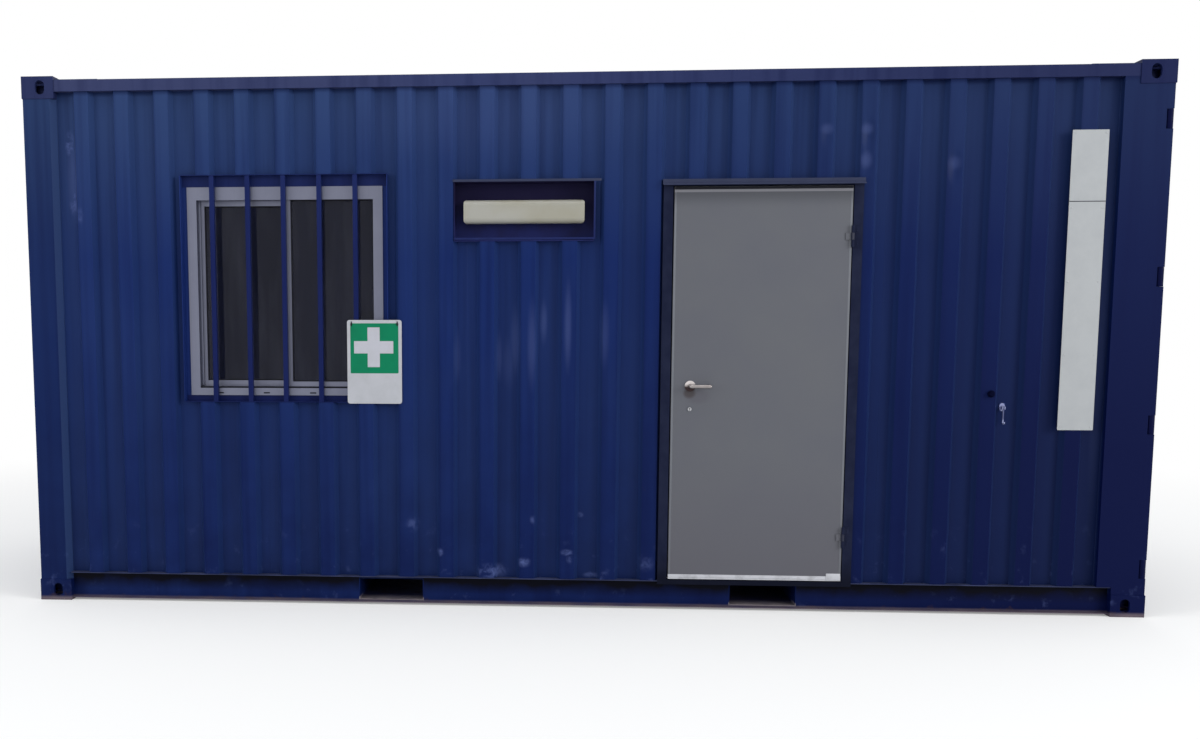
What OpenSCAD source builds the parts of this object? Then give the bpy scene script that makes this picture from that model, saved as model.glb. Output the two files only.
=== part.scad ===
// Portable first aid room made from a 20 ft high cube steel container.
// Millimetres, Z up. X runs along the building, the door and window wall faces -Y,
// and the origin is in the middle of the footprint at ground level.

/* [Shell] */
// length over the corner castings
length = 6058; // [5900:1:6200]
// width over the corner castings
width = 2438; // [2350:1:2500]
// height over the corner castings
height = 2896; // [2800:1:3000]
// gap from the casting faces in to the frame members
frame_inset = 4; // [2:1:8]

/* [Corner castings] */
// length of a corner casting along the building
casting_l = 178; // [170:1:190]
// width of a corner casting across the building
casting_w = 162; // [155:1:175]
// height of a corner casting
casting_h = 118; // [110:1:126]
// wall of a corner casting at its sides
casting_wall = 18; // [12:1:22]
// wall of a corner casting at the lock aperture
casting_plate = 28; // [24:1:32]
// length of a lock aperture
lock_l = 124; // [118:1:130]
// width of a lock aperture
lock_w = 63.5; // [58:0.5:68]
// end of the building to the middle of a lock aperture
lock_in_x = 102.5; // [98:0.5:106]
// side of the building to the middle of a lock aperture
lock_in_y = 89.5; // [84:0.5:94]
// width of a hand hole in the side of a casting
hand_w = 51; // [44:1:58]
// height of a hand hole in the side of a casting
hand_h = 76; // [66:1:82]

/* [Posts and rails] */
// run of the slope on the inner edge of a closed end post
post_slope = 26; // [20:1:32]
// face of a corner post at the cargo door end
door_post_face = 250; // [230:1:256]
// depth of a corner post from its face
post_d = 46; // [46:1:50]
// wall of a folded post
post_t = 6; // [4:1:8]
// side of a top rail
top_rail = 60; // [50:1:70]
// wall of a top rail
rail_t = 4; // [3:0.5:5]
// underside of the bottom rails above the ground
base_gap = 12; // [8:1:16]
// top of the bottom rails above the ground
sill_z = 160; // [152:1:164]
// roof sheet down from the top of the castings
roof_drop = 21; // [20:1:26]

/* [Fork pockets] */
// middle of the building to the middle of a fork pocket
pocket_x = 1025; // [980:1:1060]
// clear width of a fork pocket
pocket_w = 355; // [330:1:370]
// clear height of a fork pocket
pocket_h = 115; // [105:1:117]
// plate of a fork pocket
pocket_t = 5; // [4:0.5:6]

/* [Wall sheets] */
// thickness of the wall sheets
sheet_t = 2; // [1.6:0.1:2.4]
// outer flat of the side wall corrugation
flat_out = 78; // [70:1:86]
// inner flat of the side wall corrugation
flat_in = 103.5; // [96:0.5:112]
// run of a slope of the side wall corrugation
slope = 20; // [16:1:26]
// depth of the side wall corrugation
corr_d = 36; // [30:1:36]
// left end of the building to the middle of the first outer flat
corr_from_left = 104; // [80:0.5:130]

/* [Lining] */
// wall lining, from the sheet to the room
lining_t = 69; // [60:1:72]
// lining of the two ends
end_lining_t = 60; // [50:1:70]
// top of the floor
floor_z = 178; // [172:1:184]
// thickness of the floor deck
deck_t = 28; // [24:1:30]
// spacing of the cross members under the floor
cross_pitch = 290; // [260:1:320]
// thickness of the ceiling lining
ceiling_t = 60; // [50:1:70]

/* [Window] */
// left end of the building to the left of the window
window_from_left = 891; // [840:1:940]
// width of the window frame
window_w = 1080; // [1040:1:1110]
// height of the window frame
window_h = 1135; // [1090:1:1150]
// bottom of the window frame above the ground
window_z = 1166; // [1140:1:1200]
// reveal beside the window
reveal_side = 27; // [22:1:32]
// reveal over the window
reveal_top = 59; // [50:1:65]
// reveal under the window
reveal_low = 33; // [28:1:40]
// plate of the reveal
reveal_t = 3; // [2:0.5:4]
// side of a window bar
bar = 25; // [20:1:28]
// spacing of the window bars
bar_pitch = 197; // [185:1:205]
// face of the window frame at the sides
frame_side = 52; // [46:1:58]
// face of the window frame at the head
frame_head = 70; // [62:1:76]
// face of the window frame at the sill
frame_sill = 40; // [34:1:46]
// face of the sash stiles
stile = 33; // [28:1:38]
// thickness of the glass
glass_t = 6; // [4:0.5:8]

/* [Light] */
// left end of the building to the left of the light recess
recess_from_left = 2365; // [2300:1:2420]
// width of the light recess
recess_w = 745; // [720:1:780]
// height of the light recess
recess_h = 310; // [290:1:330]
// bottom of the light recess above the ground
recess_z = 2003; // [1960:1:2040]
// length of the light
light_l = 648; // [620:1:690]
// height of the light
light_h = 124; // [116:1:140]
// depth of the light's cover
light_out = 56; // [50:1:60]
// corner radius of the light's cover, from the front
light_corner = 16; // [10:1:24]

/* [Entrance door] */
// left end of the building to the left edge of the door
door_from_left = 3535; // [3450:1:3600]
// width of the door leaf
door_w = 927; // [900:1:960]
// height of the door leaf
door_h = 2106; // [2060:1:2140]
// thickness of the door leaf
door_t = 40; // [36:1:42]
// running gap under, over and on the hinge side of the door
door_gap = 5; // [5:0.5:6]
// running gap on the lock side of the door
lock_gap = 7; // [7:0.5:8]
// face of a door jamb
jamb_w = 50; // [44:1:56]
// lap of the door stop behind the leaf
stop_lap = 15; // [12:1:18]
// height of the hinge leaves
hinge_h = 110; // [90:1:120]
// radius of a hinge knuckle
knuckle_r = 8; // [7:0.5:9]
// lock edge of the door to the lever spindle
lever_in = 100; // [85:1:115]
// lever spindle above the ground
lever_z = 1226; // [1180:1:1260]
// length of the lever
lever_l = 112; // [100:1:125]
// radius of the lever
lever_r = 10; // [8:0.5:11]
// middle of the lever out from the door
lever_out = 52; // [50:1:58]
// return of the lever's end towards the door
lever_back = 34; // [28:1:36]
// radius of a lever rose
rose_r = 29; // [26:1:32]
// radius of the key cylinder
key_r = 10; // [9:0.5:13]
// lever spindle down to the key cylinder
key_drop = 124; // [110:1:135]

/* [Wall fittings] */
// left end of the building to the hook, before it is set in its valley of the wall
hook_from_left = 5285; // [5250:1:5350]
// left edge of the valley to the hook
hook_in = 27.5; // [20:0.5:50]
// pin of the hook above the ground
hook_z = 1114; // [1080:1:1150]
// length of the hook from its pin
hook_l = 84; // [70:1:95]
// radius of the rubber buffer
buffer_r = 18; // [14:1:22]
// rubber buffer above the ground
buffer_z = 1190; // [1160:1:1220]
// left end of the building to the left of the first aid sign
sign_from_left = 1776; // [1760:1:1800]
// width of the first aid sign
sign_w = 300; // [280:1:320]
// height of the first aid sign
sign_h = 456; // [430:1:470]
// bottom of the first aid sign above the ground
sign_z = 1124; // [1100:1:1150]
// right end of the building to the right of the name panel
panel_from_right = 316; // [296:1:330]
// width of the name panel
panel_w = 182; // [170:1:190]
// height of the name panel
panel_h = 1550; // [1480:1:1600]
// bottom of the name panel above the ground
panel_z = 1000; // [960:1:1040]

/* [Cargo doors] */
// thickness of a cargo door leaf
cargo_t = 40; // [36:1:44]
// side of the building to a cargo door leaf
cargo_side = 89; // [88:1:92]
// radius of a lock rod
rod_r = 16; // [14:0.5:17]
// lower lock handles above the ground
handle_z = 1070; // [1000:1:1200]
// upper pair of lock handles above the lower pair
handle_step = 126; // [110:1:140]
// length of a lock handle past its rod
handle_l = 290; // [250:1:310]
// height of a cargo hinge
cargo_hinge_h = 96; // [84:1:100]
// reach of a hinge blade over its leaf
hinge_reach = 151; // [140:1:160]
// top of the castings down to the highest cargo hinge
hinge_drop = 296; // [280:1:310]

/* [Hidden] */
$fn = 48;
std_length = 6058;
std_height = 2896;
stretch = length / std_length;
rise = height / std_height;
pitch = flat_out + flat_in + 2 * slope;
wall_d = 12;
wall_back = wall_d + corr_d + sheet_t;
room_d = wall_back + lining_t;
roof_z = height - roof_drop;
rail_z = roof_z - top_rail;
ceiling_z = rail_z - ceiling_t;
seam = 0.5;
closed_in = 50;
cargo_out = 44;
cargo_in = cargo_out + cargo_t;
end_u = length - cargo_in;
web_d = 44;
web_t = 5;
deck_in = wall_back;
door_low = floor_z - 6;
door_top = door_low + door_h * rise;
door_u = [door_from_left * stretch, door_from_left * stretch + door_w];
frame_u = [door_u[0] - lock_gap - jamb_w, door_u[1] + door_gap + jamb_w];
frame_d = 2;
leaf_d = 4;
stop_d = leaf_d + door_t + 5;
head_z = door_top + door_gap;
head_h = 35;
post_face = casting_l - frame_inset - post_slope;
hinge_u = door_u[1] + door_gap / 2;
hinge_d = leaf_d - 3 - knuckle_r;
hinge_zs = [door_low + 240, door_top - 263];
spindle_u = door_u[0] + lever_in;
win_u = [window_from_left * stretch, window_from_left * stretch + window_w];
win_z = [window_z * rise, (window_z + window_h) * rise];
reveal_u = [win_u[0] - reveal_side, win_u[1] + reveal_side];
reveal_z = [win_z[0] - reveal_low, win_z[1] + reveal_top];
cut_u = [reveal_u[0] - reveal_t, reveal_u[1] + reveal_t];
cut_z = [reveal_z[0] - reveal_t, reveal_z[1] + reveal_t];
pan_t = 3;
light_u = recess_from_left * stretch + recess_w / 2;
light_z = recess_z * rise + recess_h / 2;
pan_u = [light_u - recess_w / 2 - pan_t, light_u + recess_w / 2 + pan_t];
pan_z = [light_z - recess_h / 2 - pan_t, light_z + recess_h / 2 + pan_t];
pan_d = room_d - 12;
lip_d = 9;
cross_n = floor((length / 2 - 330) / cross_pitch);
cargo_z = [sill_z + 8, height - casting_h - 8];
cargo_w = (width - 2 * cargo_side - 6) / 2;
hook_d = wall_d + corr_d - 22;
hook_valley = floor((hook_from_left * stretch - corr_from_left) / pitch);
hook_u = corr_from_left + hook_valley * pitch + flat_out / 2 + slope + hook_in;
rod_zs = [base_gap + 50, height - casting_h + 50];
cargo_hinge_zs = [260, 1030 * rise, 1800 * rise, height - hinge_drop];

blue = [0.13, 0.2, 0.4];
dark = [0.1, 0.1, 0.14];
grey = [0.55, 0.56, 0.58];
pale = [0.85, 0.86, 0.86];
metal = [0.68, 0.69, 0.7];

// Place a point given from the left end, from the front face and from the ground.
module at(u, d, z) {
    translate([u - length / 2, d - width / 2, z])
        children();
}

// A block between two distances from the left end, from the front face and from the ground.
module slab(u, d, z) {
    at(u[0], d[0], z[0])
        cube([u[1] - u[0], d[1] - d[0], z[1] - z[0]]);
}

// A span about a middle, from the two distances given.
function about(c, a, b) = [c + a, c + b];

// A piece and its mirror image across the building.
module both_sides() {
    children();
    mirror([0, 1, 0])
        children();
}

// A piece and its mirror image along the building.
module both_ends() {
    children();
    mirror([1, 0, 0])
        children();
}

// Knees of a corrugation, as flats at d = 0 and d = depth.
function knees(first, last, start, out, run, low, depth, shift, back) = [
    for (k = [first : last])
        let (c = start + k * (out + low + 2 * run))
        each [
            [c - out / 2 + shift, back],
            [c + out / 2 - shift, back],
            [c + out / 2 + run - shift, back + depth],
            [c + out / 2 + run + low + shift, back + depth]
        ]
];

function flip(p) = [for (i = [len(p) - 1 : -1 : 0]) p[i]];

// Cut through a corrugated sheet, clipped to the span given.
module corrugation(span, start, out, run, low, depth, t) {
    one = out + low + 2 * run;
    first = floor((span[0] - start) / one) - 1;
    last = ceil((span[1] - start) / one) + 1;
    shift = t * tan(atan2(depth, run) / 2);
    intersection() {
        polygon(concat(
            knees(first, last, start, out, run, low, depth, 0, 0),
            flip(knees(first, last, start, out, run, low, depth, shift, t))
        ));
        translate([span[0], -5])
            square([span[1] - span[0], depth + t + 10]);
    }
}

// A length of the front wall sheet.
module wall_sheet(u, z) {
    at(0, wall_d, z[0])
        linear_extrude(z[1] - z[0])
            corrugation(u, corr_from_left, flat_out, slope, flat_in, corr_d, sheet_t);
}

// A slot with round ends, lying along X and standing on Z.
module slot(l, w, h) {
    run = (l - w) / 2;
    union() {
        translate([-run, -w / 2, 0])
            cube([2 * run, w, h]);
        translate([-run, 0, 0])
            cylinder(h = h, d = w);
        translate([run, 0, 0])
            cylinder(h = h, d = w);
    }
}

// A closed folded section, given as an outline and its inside.
module hollow_post(outside, inside, h) {
    linear_extrude(h)
        difference() {
            polygon(outside);
            polygon(inside);
        }
}

// One cast corner at the left end of the front, aperture down.
module casting() {
    difference() {
        cube([casting_l, casting_w, casting_h]);
        translate([casting_wall, casting_wall, casting_plate])
            cube([casting_l - 2 * casting_wall, casting_w - 2 * casting_wall, casting_h - 2 * casting_plate]);
        translate([lock_in_x, lock_in_y, -1])
            slot(lock_l, lock_w, casting_plate + 2);
        translate([lock_in_x, casting_wall + 1, casting_h / 2])
            rotate([90, 0, 0])
                rotate(90)
                    slot(hand_h, hand_w, casting_wall + 2);
        translate([-1, lock_in_y, casting_h / 2])
            rotate([0, 90, 0])
                slot(hand_h, hand_w, casting_wall + 2);
    }
}

module bottom_corner_castings() {
    color(blue)
        both_sides()
            both_ends()
                at(0, 0, 0)
                    casting();
}

module top_corner_castings() {
    color(blue)
        both_sides()
            both_ends()
                at(0, 0, height)
                    mirror([0, 0, 1])
                        casting();
}

module closed_end_posts() {
    i = frame_inset;
    t = post_t;
    e = closed_in - i;
    p = post_d;
    w = casting_l - i;
    y = casting_w - i;
    color(blue)
        both_sides()
            at(i, i, casting_h)
                hollow_post(
                    [[0, 0], [post_face, 0], [w, p - 10], [w, p], [e, p], [e, y], [0, y]],
                    [[t, t], [post_face - 4, t], [w - t, p - 8], [w - t, p - t], [e - t, p - t], [e - t, y - t], [t, y - t]],
                    height - 2 * casting_h);
}

module cargo_end_posts() {
    i = frame_inset;
    t = post_t;
    f = door_post_face;
    e = cargo_in - i;
    p = post_d;
    w = casting_l - i;
    color(blue)
        both_sides()
            difference() {
                union() {
                    at(length - i, i, casting_h)
                        mirror([1, 0, 0])
                            hollow_post(
                                [[0, 0], [w, 0], [w, p], [e, p], [e, 80], [0, 80]],
                                [[t, t], [w - t, t], [w - t, p - t], [e - t, p - t], [e - t, 80 - t], [t, 80 - t]],
                                height - 2 * casting_h);
                    difference() {
                        slab([length - i - f, length - casting_l], [i, i + p], [sill_z, rail_z]);
                        slab([length - i - f + t, length - casting_l - t], [i + t, i + p - t], [sill_z - 1, rail_z + 1]);
                    }
                }
                for (z = cargo_hinge_zs)
                    slab([length - 40, length], [0, 90], about(z, -cargo_hinge_h / 2 - 2, cargo_hinge_h / 2 + 2));
            }
}

module top_side_rails() {
    i = frame_inset;
    color(blue)
        both_sides()
            difference() {
                slab([casting_l, length - casting_l], [i, i + top_rail], [rail_z, roof_z]);
                slab([casting_l - 1, length - casting_l + 1], [i + rail_t, i + top_rail - rail_t],
                    [rail_z + rail_t, roof_z - rail_t]);
            }
}

module bottom_side_rails() {
    t = pocket_t;
    color(blue)
        both_sides()
            difference() {
                union() {
                    slab([casting_l, length - casting_l], [web_d, web_d + web_t], [base_gap, sill_z]);
                    slab([casting_l, length - casting_l], [8, web_d + web_t], [sill_z - web_t, sill_z]);
                    slab([casting_l, length - casting_l], [14, web_d + web_t], [base_gap, base_gap + web_t]);
                }
                for (s = [-1, 1])
                    slab(about(length / 2 + s * pocket_x, -pocket_w / 2 - t, pocket_w / 2 + t), [web_d - 1, web_d + web_t + 1],
                        [base_gap + web_t + 3, base_gap + web_t + 3 + pocket_h + 2 * t]);
            }
}

module end_rails() {
    i = frame_inset;
    side = [casting_w, width - casting_w];
    color(blue) {
        slab([i, i + top_rail], side, [rail_z, roof_z]);
        slab([i, closed_in], side, [base_gap, sill_z]);
        slab([length - cargo_in - 40, length - cargo_out], side, [height - casting_h, roof_z]);
        slab([length - cargo_in - 40, length - cargo_out], side, [base_gap, sill_z - 10]);
    }
}

module fork_pockets() {
    t = pocket_t;
    low = base_gap + web_t + 3;
    color(blue)
        for (s = [-1, 1])
            difference() {
                slab(about(length / 2 + s * pocket_x, -pocket_w / 2 - t, pocket_w / 2 + t), [web_d, width - web_d],
                    [low, low + pocket_h + 2 * t]);
                slab(about(length / 2 + s * pocket_x, -pocket_w / 2, pocket_w / 2), [web_d - 1, width - web_d + 1],
                    [low + t, low + t + pocket_h]);
            }
}

module floor_cross_members() {
    top = floor_z - deck_t;
    low = base_gap + 14;
    color(dark)
        for (k = [-cross_n : cross_n])
            if (abs(abs(k * cross_pitch) - pocket_x) > pocket_w / 2 + 40)
                difference() {
                    slab(about(length / 2 + k * cross_pitch, -22, 22), [web_d + web_t, width - web_d - web_t], [low, top]);
                    slab(about(length / 2 + k * cross_pitch, -18, 23), [web_d, width - web_d], [low + 4, top - 4]);
                }
}

module floor_deck() {
    color(grey)
        slab([closed_in, end_u - 40], [deck_in, width - deck_in], [floor_z - deck_t, floor_z]);
}

module front_wall_left() {
    color(blue)
        wall_sheet([casting_l, cut_u[0]], [sill_z, rail_z]);
}

module front_wall_window_bay() {
    color(blue) {
        wall_sheet(cut_u, [cut_z[1], rail_z]);
        wall_sheet(cut_u, [sill_z, cut_z[0]]);
    }
}

module front_wall_beside_light() {
    color(blue) {
        wall_sheet([cut_u[1], pan_u[0]], [sill_z, rail_z]);
        wall_sheet([pan_u[1], frame_u[0]], [sill_z, rail_z]);
    }
}

module front_wall_light_bay() {
    color(blue) {
        wall_sheet(pan_u, [pan_z[1], rail_z]);
        wall_sheet(pan_u, [sill_z, pan_z[0]]);
    }
}

module front_wall_over_door() {
    color(blue)
        wall_sheet(frame_u, [head_z + head_h, rail_z]);
}

module front_wall_right() {
    color(blue)
        wall_sheet([frame_u[1], length - frame_inset - door_post_face], [sill_z, rail_z]);
}

module rear_wall() {
    color(blue)
        mirror([0, 1, 0])
            wall_sheet([casting_l, length - frame_inset - door_post_face], [sill_z, rail_z]);
}

module closed_end_wall() {
    d = closed_in - 6 - sheet_t;
    color(blue)
        at(6, 0, sill_z)
            linear_extrude(rail_z - sill_z)
                mirror([1, -1, 0])
                    corrugation([casting_w, width - casting_w], width / 2, 100, 30, 110, d, sheet_t);
}

// Raised ribs of the roof, drawn in by the distance given.
module roof_ribs(draw) {
    rise = 13 - draw;
    n = floor((length - 2 * 330) / 210 / 2);
    intersection() {
        for (k = [-n : n])
            translate([k * 210, width / 2 - 140 - draw, roof_z])
                rotate([90, 0, 0])
                    linear_extrude(width - 280 - 2 * draw)
                        polygon([[-65 + draw, -1], [65 - draw, -1], [45 - draw, rise], [-45 + draw, rise]]);
        translate([-length / 2, 0, roof_z])
            rotate([90, 0, 90])
                linear_extrude(length)
                    polygon([[140 - width / 2 + draw, -1], [width / 2 - 140 - draw, -1],
                        [width / 2 - 180 - draw, rise], [180 - width / 2 + draw, rise]]);
    }
}

module roof_panel() {
    end_d = [casting_w, width - casting_w];
    z = [roof_z, roof_z + sheet_t];
    color(blue) {
        difference() {
            union() {
                slab([casting_l, length - casting_l], [6, width - 6], z);
                intersection() {
                    roof_ribs(0);
                    slab([0, length], [0, width], [roof_z, height]);
                }
            }
            roof_ribs(sheet_t);
        }
        slab([6, casting_l - seam], end_d, z);
        slab([length - casting_l + seam, length - cargo_out], end_d, z);
    }
}

// One cargo door leaf on the front side, with two pressed channels for the lock rods.
module cargo_leaf() {
    difference() {
        slab([length - cargo_in, length - cargo_out], [cargo_side, cargo_side + cargo_w], cargo_z);
        for (c = [0.3, 0.72])
            at(length - cargo_out, cargo_side + cargo_w * c, cargo_z[0] + 110)
                linear_extrude(cargo_z[1] - cargo_z[0] - 220)
                    polygon([[1, -120], [1, 120], [-26, 100], [-26, -100]]);
    }
}

module cargo_door_left() {
    color(blue)
        cargo_leaf();
}

module cargo_door_right() {
    color(blue)
        mirror([0, 1, 0])
            cargo_leaf();
}

module cargo_lock_rods() {
    x = length - cargo_out + 4 + rod_r;
    color(metal)
        both_sides()
            for (c = [0.3, 0.72])
                union() {
                    at(x, cargo_side + cargo_w * c, rod_zs[0])
                        cylinder(h = rod_zs[1] - rod_zs[0], r = rod_r);
                    slab([x - rod_r - 4, x + rod_r], about(cargo_side + cargo_w * c, -30, 30), about(rod_zs[0], 0, 34));
                    slab([x - rod_r - 4, x + rod_r], about(cargo_side + cargo_w * c, -30, 30), about(rod_zs[1], -34, 0));
                }
}

module cargo_lock_handles() {
    x = length - cargo_out + 4 + 2 * rod_r;
    color(metal)
        both_sides()
            for (c = [0.3, 0.72])
                slab([x, x + 6], about(cargo_side + cargo_w * c, -14, handle_l),
                    about(c > 0.5 ? handle_z + handle_step : handle_z, 0, 34));
}

module cargo_rod_brackets() {
    x = length - cargo_out + 4 + rod_r;
    color(metal)
        both_sides()
            for (c = [0.3, 0.72])
                for (z = [cargo_z[0] + 40, cargo_z[1] - 90])
                    difference() {
                        slab([length - cargo_out, x + 6], about(cargo_side + cargo_w * c, -48, 48), [z, z + 50]);
                        at(x, cargo_side + cargo_w * c, z - 1)
                            cylinder(h = 52, r = rod_r + 0.5);
                        slab([x - 1, x + 40], about(cargo_side + cargo_w * c, -rod_r - 0.5, rod_r + 0.5), [z - 1, z + 51]);
                    }
}

module cargo_door_gaskets() {
    d = [length - cargo_in + 4, length - cargo_out - 4];
    color(dark) {
        slab(d, [width / 2 - 3, width / 2 + 3], cargo_z);
        both_sides() {
            slab(d, [cargo_side - 5, cargo_side], cargo_z);
            slab(d, [cargo_side + 3, cargo_side + cargo_w - 3], [sill_z - 10, cargo_z[0]]);
            slab(d, [casting_w, cargo_side + cargo_w - 3], [cargo_z[1], height - casting_h]);
        }
    }
}

module cargo_hinges() {
    h = cargo_hinge_h / 2;
    color(metal)
        both_sides()
            for (z = cargo_hinge_zs)
                union() {
                    at(length - 24, 18, z - h)
                        cylinder(h = 2 * h, r = 12);
                    slab([length - 48, length - 40], [frame_inset + post_t, frame_inset + 80 - post_t], about(z, -h - 2, h + 2));
                    slab([length - 44, length - 28], [14, 22], [z - h, z + h]);
                    slab([length - 24, length - 12], [18, cargo_side], about(z, 13 - h, h - 13));
                    slab([length - cargo_out, length - 12], [cargo_side - 3, cargo_side + hinge_reach], about(z, 13 - h, h - 13));
                }
}

module front_lining_tall() {
    d = [wall_back, room_d];
    z = [floor_z, ceiling_z];
    color(pale) {
        slab([closed_in, win_u[0]], d, z);
        difference() {
            slab([win_u[1], frame_u[0]], d, z);
            slab(pan_u, [wall_back - 1, pan_d + pan_t], pan_z);
        }
        slab([frame_u[1], end_u], d, z);
    }
}

module front_lining_short() {
    d = [wall_back, room_d];
    color(pale) {
        slab(win_u, d, [floor_z, win_z[0]]);
        slab(win_u, d, [win_z[1], ceiling_z]);
        slab(frame_u, d, [head_z + head_h, ceiling_z]);
    }
}

module rear_lining() {
    color(pale)
        mirror([0, 1, 0])
            slab([closed_in, end_u], [wall_back, room_d], [floor_z, ceiling_z]);
}

module end_linings() {
    d = [room_d, width - room_d];
    color(pale) {
        slab([closed_in, closed_in + end_lining_t], d, [floor_z, ceiling_z]);
        slab([end_u - end_lining_t, end_u], d, [floor_z, ceiling_z]);
    }
}

module ceiling_lining() {
    end_d = [casting_w, width - casting_w];
    z = [ceiling_z, ceiling_z + ceiling_t];
    color(pale) {
        slab([casting_l, length - casting_l], [wall_back, width - wall_back], z);
        slab([closed_in, casting_l - seam], end_d, z);
        slab([length - casting_l + seam, end_u - 45], end_d, z);
    }
}

module window_head_and_sill() {
    t = reveal_t;
    d = [lip_d, wall_back];
    color(blue) {
        union() {
            slab(cut_u, d, [reveal_z[1], cut_z[1]]);
            slab(reveal_u, [wall_back - t, wall_back], [win_z[1], cut_z[1]]);
        }
        union() {
            slab(cut_u, d, [cut_z[0], reveal_z[0]]);
            slab(reveal_u, [wall_back - t, wall_back], [cut_z[0], win_z[0]]);
        }
    }
}

module window_side_reveals() {
    t = reveal_t;
    d = [lip_d, wall_back];
    color(blue) {
        union() {
            slab([cut_u[0], reveal_u[0]], d, reveal_z);
            slab([cut_u[0], win_u[0]], [wall_back - t, wall_back], win_z);
        }
        union() {
            slab([reveal_u[1], cut_u[1]], d, reveal_z);
            slab([win_u[1], cut_u[1]], [wall_back - t, wall_back], win_z);
        }
    }
}

module window_bars() {
    mid = (win_u[0] + win_u[1]) / 2;
    color(blue)
        for (k = [-2 : 2])
            slab(about(mid + k * bar_pitch, -bar / 2, bar / 2), [wall_d, wall_d + bar], reveal_z);
}

module window_frame() {
    front = wall_back - 9;
    back = room_d - 4;
    mid = (win_u[0] + win_u[1]) / 2;
    color(metal)
        union() {
            difference() {
                slab(win_u, [front, back], win_z);
                slab([win_u[0] + frame_side, win_u[1] - frame_side], [front - 1, back + 1],
                    [win_z[0] + frame_sill, win_z[1] - frame_head]);
            }
            slab(about(mid, -6, stile - 2), [front + 12, front + 36], [win_z[0] + frame_sill, win_z[1] - frame_head]);
            slab([mid, win_u[1] - frame_side], [front + 12, front + 36], about(win_z[0] + frame_sill, 0, 36));
        }
}

module sliding_sash() {
    front = wall_back + 30;
    mid = (win_u[0] + win_u[1]) / 2;
    z = [win_z[0] + frame_sill, win_z[1] - frame_head - 1];
    color(metal)
        difference() {
            slab([win_u[0] + frame_side + 1, mid + stile], [front, front + 24], z);
            slab([win_u[0] + frame_side + stile, mid], [front - 1, front + 25], [z[0] + 41, z[1] - 28]);
        }
}

module window_glass() {
    near = wall_back - 9 + 24 - glass_t / 2;
    far = wall_back + 42 - glass_t / 2;
    mid = (win_u[0] + win_u[1]) / 2;
    z = [win_z[0] + frame_sill, win_z[1] - frame_head];
    color([0.6, 0.7, 0.75, 0.4]) {
        slab([mid + stile - 2, win_u[1] - frame_side], [near, near + glass_t], [z[0] + 36, z[1]]);
        slab([win_u[0] + frame_side + stile, mid], [far, far + glass_t], [z[0] + 41, z[1] - 29]);
    }
}

module light_recess() {
    t = pan_t;
    color(blue)
        difference() {
            slab(pan_u, [lip_d, pan_d + t], pan_z);
            slab([pan_u[0] + t, pan_u[1] - t], [lip_d - 1, pan_d], [pan_z[0] + t, pan_z[1] - t]);
        }
}

module light_base() {
    color(grey)
        slab(about(light_u, -light_l / 2 + 8, light_l / 2 - 8), [pan_d - 30, pan_d],
            about(light_z, -light_h / 2 + 6, light_h / 2 - 6));
}

// Rounded cover: its outline from the front, cut by its arched section.
module light_diffuser() {
    r = light_corner;
    arch = light_out / 2;
    w = light_l / 2;
    h = light_h / 2;
    color(pale)
        at(light_u, pan_d - 30, light_z)
            intersection() {
                rotate([90, 0, 0])
                    linear_extrude(light_out)
                        union() {
                            square([2 * w - 2 * r, 2 * h], center = true);
                            square([2 * w, 2 * h - 2 * r], center = true);
                            for (a = [-1, 1])
                                for (b = [-1, 1])
                                    translate([a * (w - r), b * (h - r)])
                                        circle(r);
                        }
                translate([-w - 1, 0, 0])
                    rotate([90, 0, 90])
                        linear_extrude(2 * w + 2)
                            union() {
                                translate([-arch, -h])
                                    square([arch, 2 * h]);
                                translate([-light_out, -h + arch])
                                    square([light_out, 2 * h - 2 * arch]);
                                for (b = [-1, 1])
                                    translate([-arch, b * (h - arch)])
                                        circle(arch);
                            }
            }
}

module door_jambs() {
    low = sill_z + 7;
    lap = stop_lap;
    color(dark) {
        union() {
            slab([frame_u[0], door_u[0] - lock_gap], [frame_d, wall_back], [low, head_z]);
            slab([frame_u[0], door_u[0] - lock_gap], [wall_back, room_d], [floor_z, head_z]);
            slab([frame_u[0], door_u[0] - lock_gap + lap], [stop_d, stop_d + 15], [floor_z, head_z]);
        }
        union() {
            slab([door_u[1] + door_gap, frame_u[1]], [frame_d, wall_back], [low, head_z]);
            slab([door_u[1] + door_gap, frame_u[1]], [wall_back, room_d], [floor_z, head_z]);
            slab([door_u[1] + door_gap - lap, frame_u[1]], [stop_d, stop_d + 15], [floor_z, head_z]);
        }
    }
}

module door_head() {
    color(dark)
        union() {
            slab(frame_u, [frame_d, room_d], [head_z, head_z + head_h]);
            slab([door_u[0] - lock_gap + stop_lap, door_u[1] + door_gap - stop_lap], [stop_d, stop_d + 15],
                [head_z - stop_lap, head_z]);
        }
}

module door_threshold() {
    color(dark)
        union() {
            slab(frame_u, [frame_d, wall_back], [sill_z, sill_z + 7]);
            slab(frame_u, [frame_d, 8], [sill_z - 19, sill_z + 7]);
        }
}

module drip_flashing() {
    z = head_z + 2;
    color(blue)
        at(frame_u[0] - 5, 0, 0)
            rotate([90, 0, 90])
                linear_extrude(frame_u[1] - frame_u[0] + 10)
                    polygon([[frame_d, z + 33], [frame_d, z + 10], [frame_d - 3, z + 8], [frame_d - 30, z],
                        [frame_d - 30, z + 3], [frame_d - 6, z + 12], [frame_d - 6, z + 33]]);
}

module door_leaf() {
    color(grey)
        difference() {
            slab(door_u, [leaf_d, leaf_d + door_t], [door_low + 26, door_top - 28]);
            at(spindle_u, leaf_d - 1, lever_z)
                rotate([-90, 0, 0])
                    cylinder(h = door_t + 2, r = lever_r + 1);
        }
}

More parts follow.
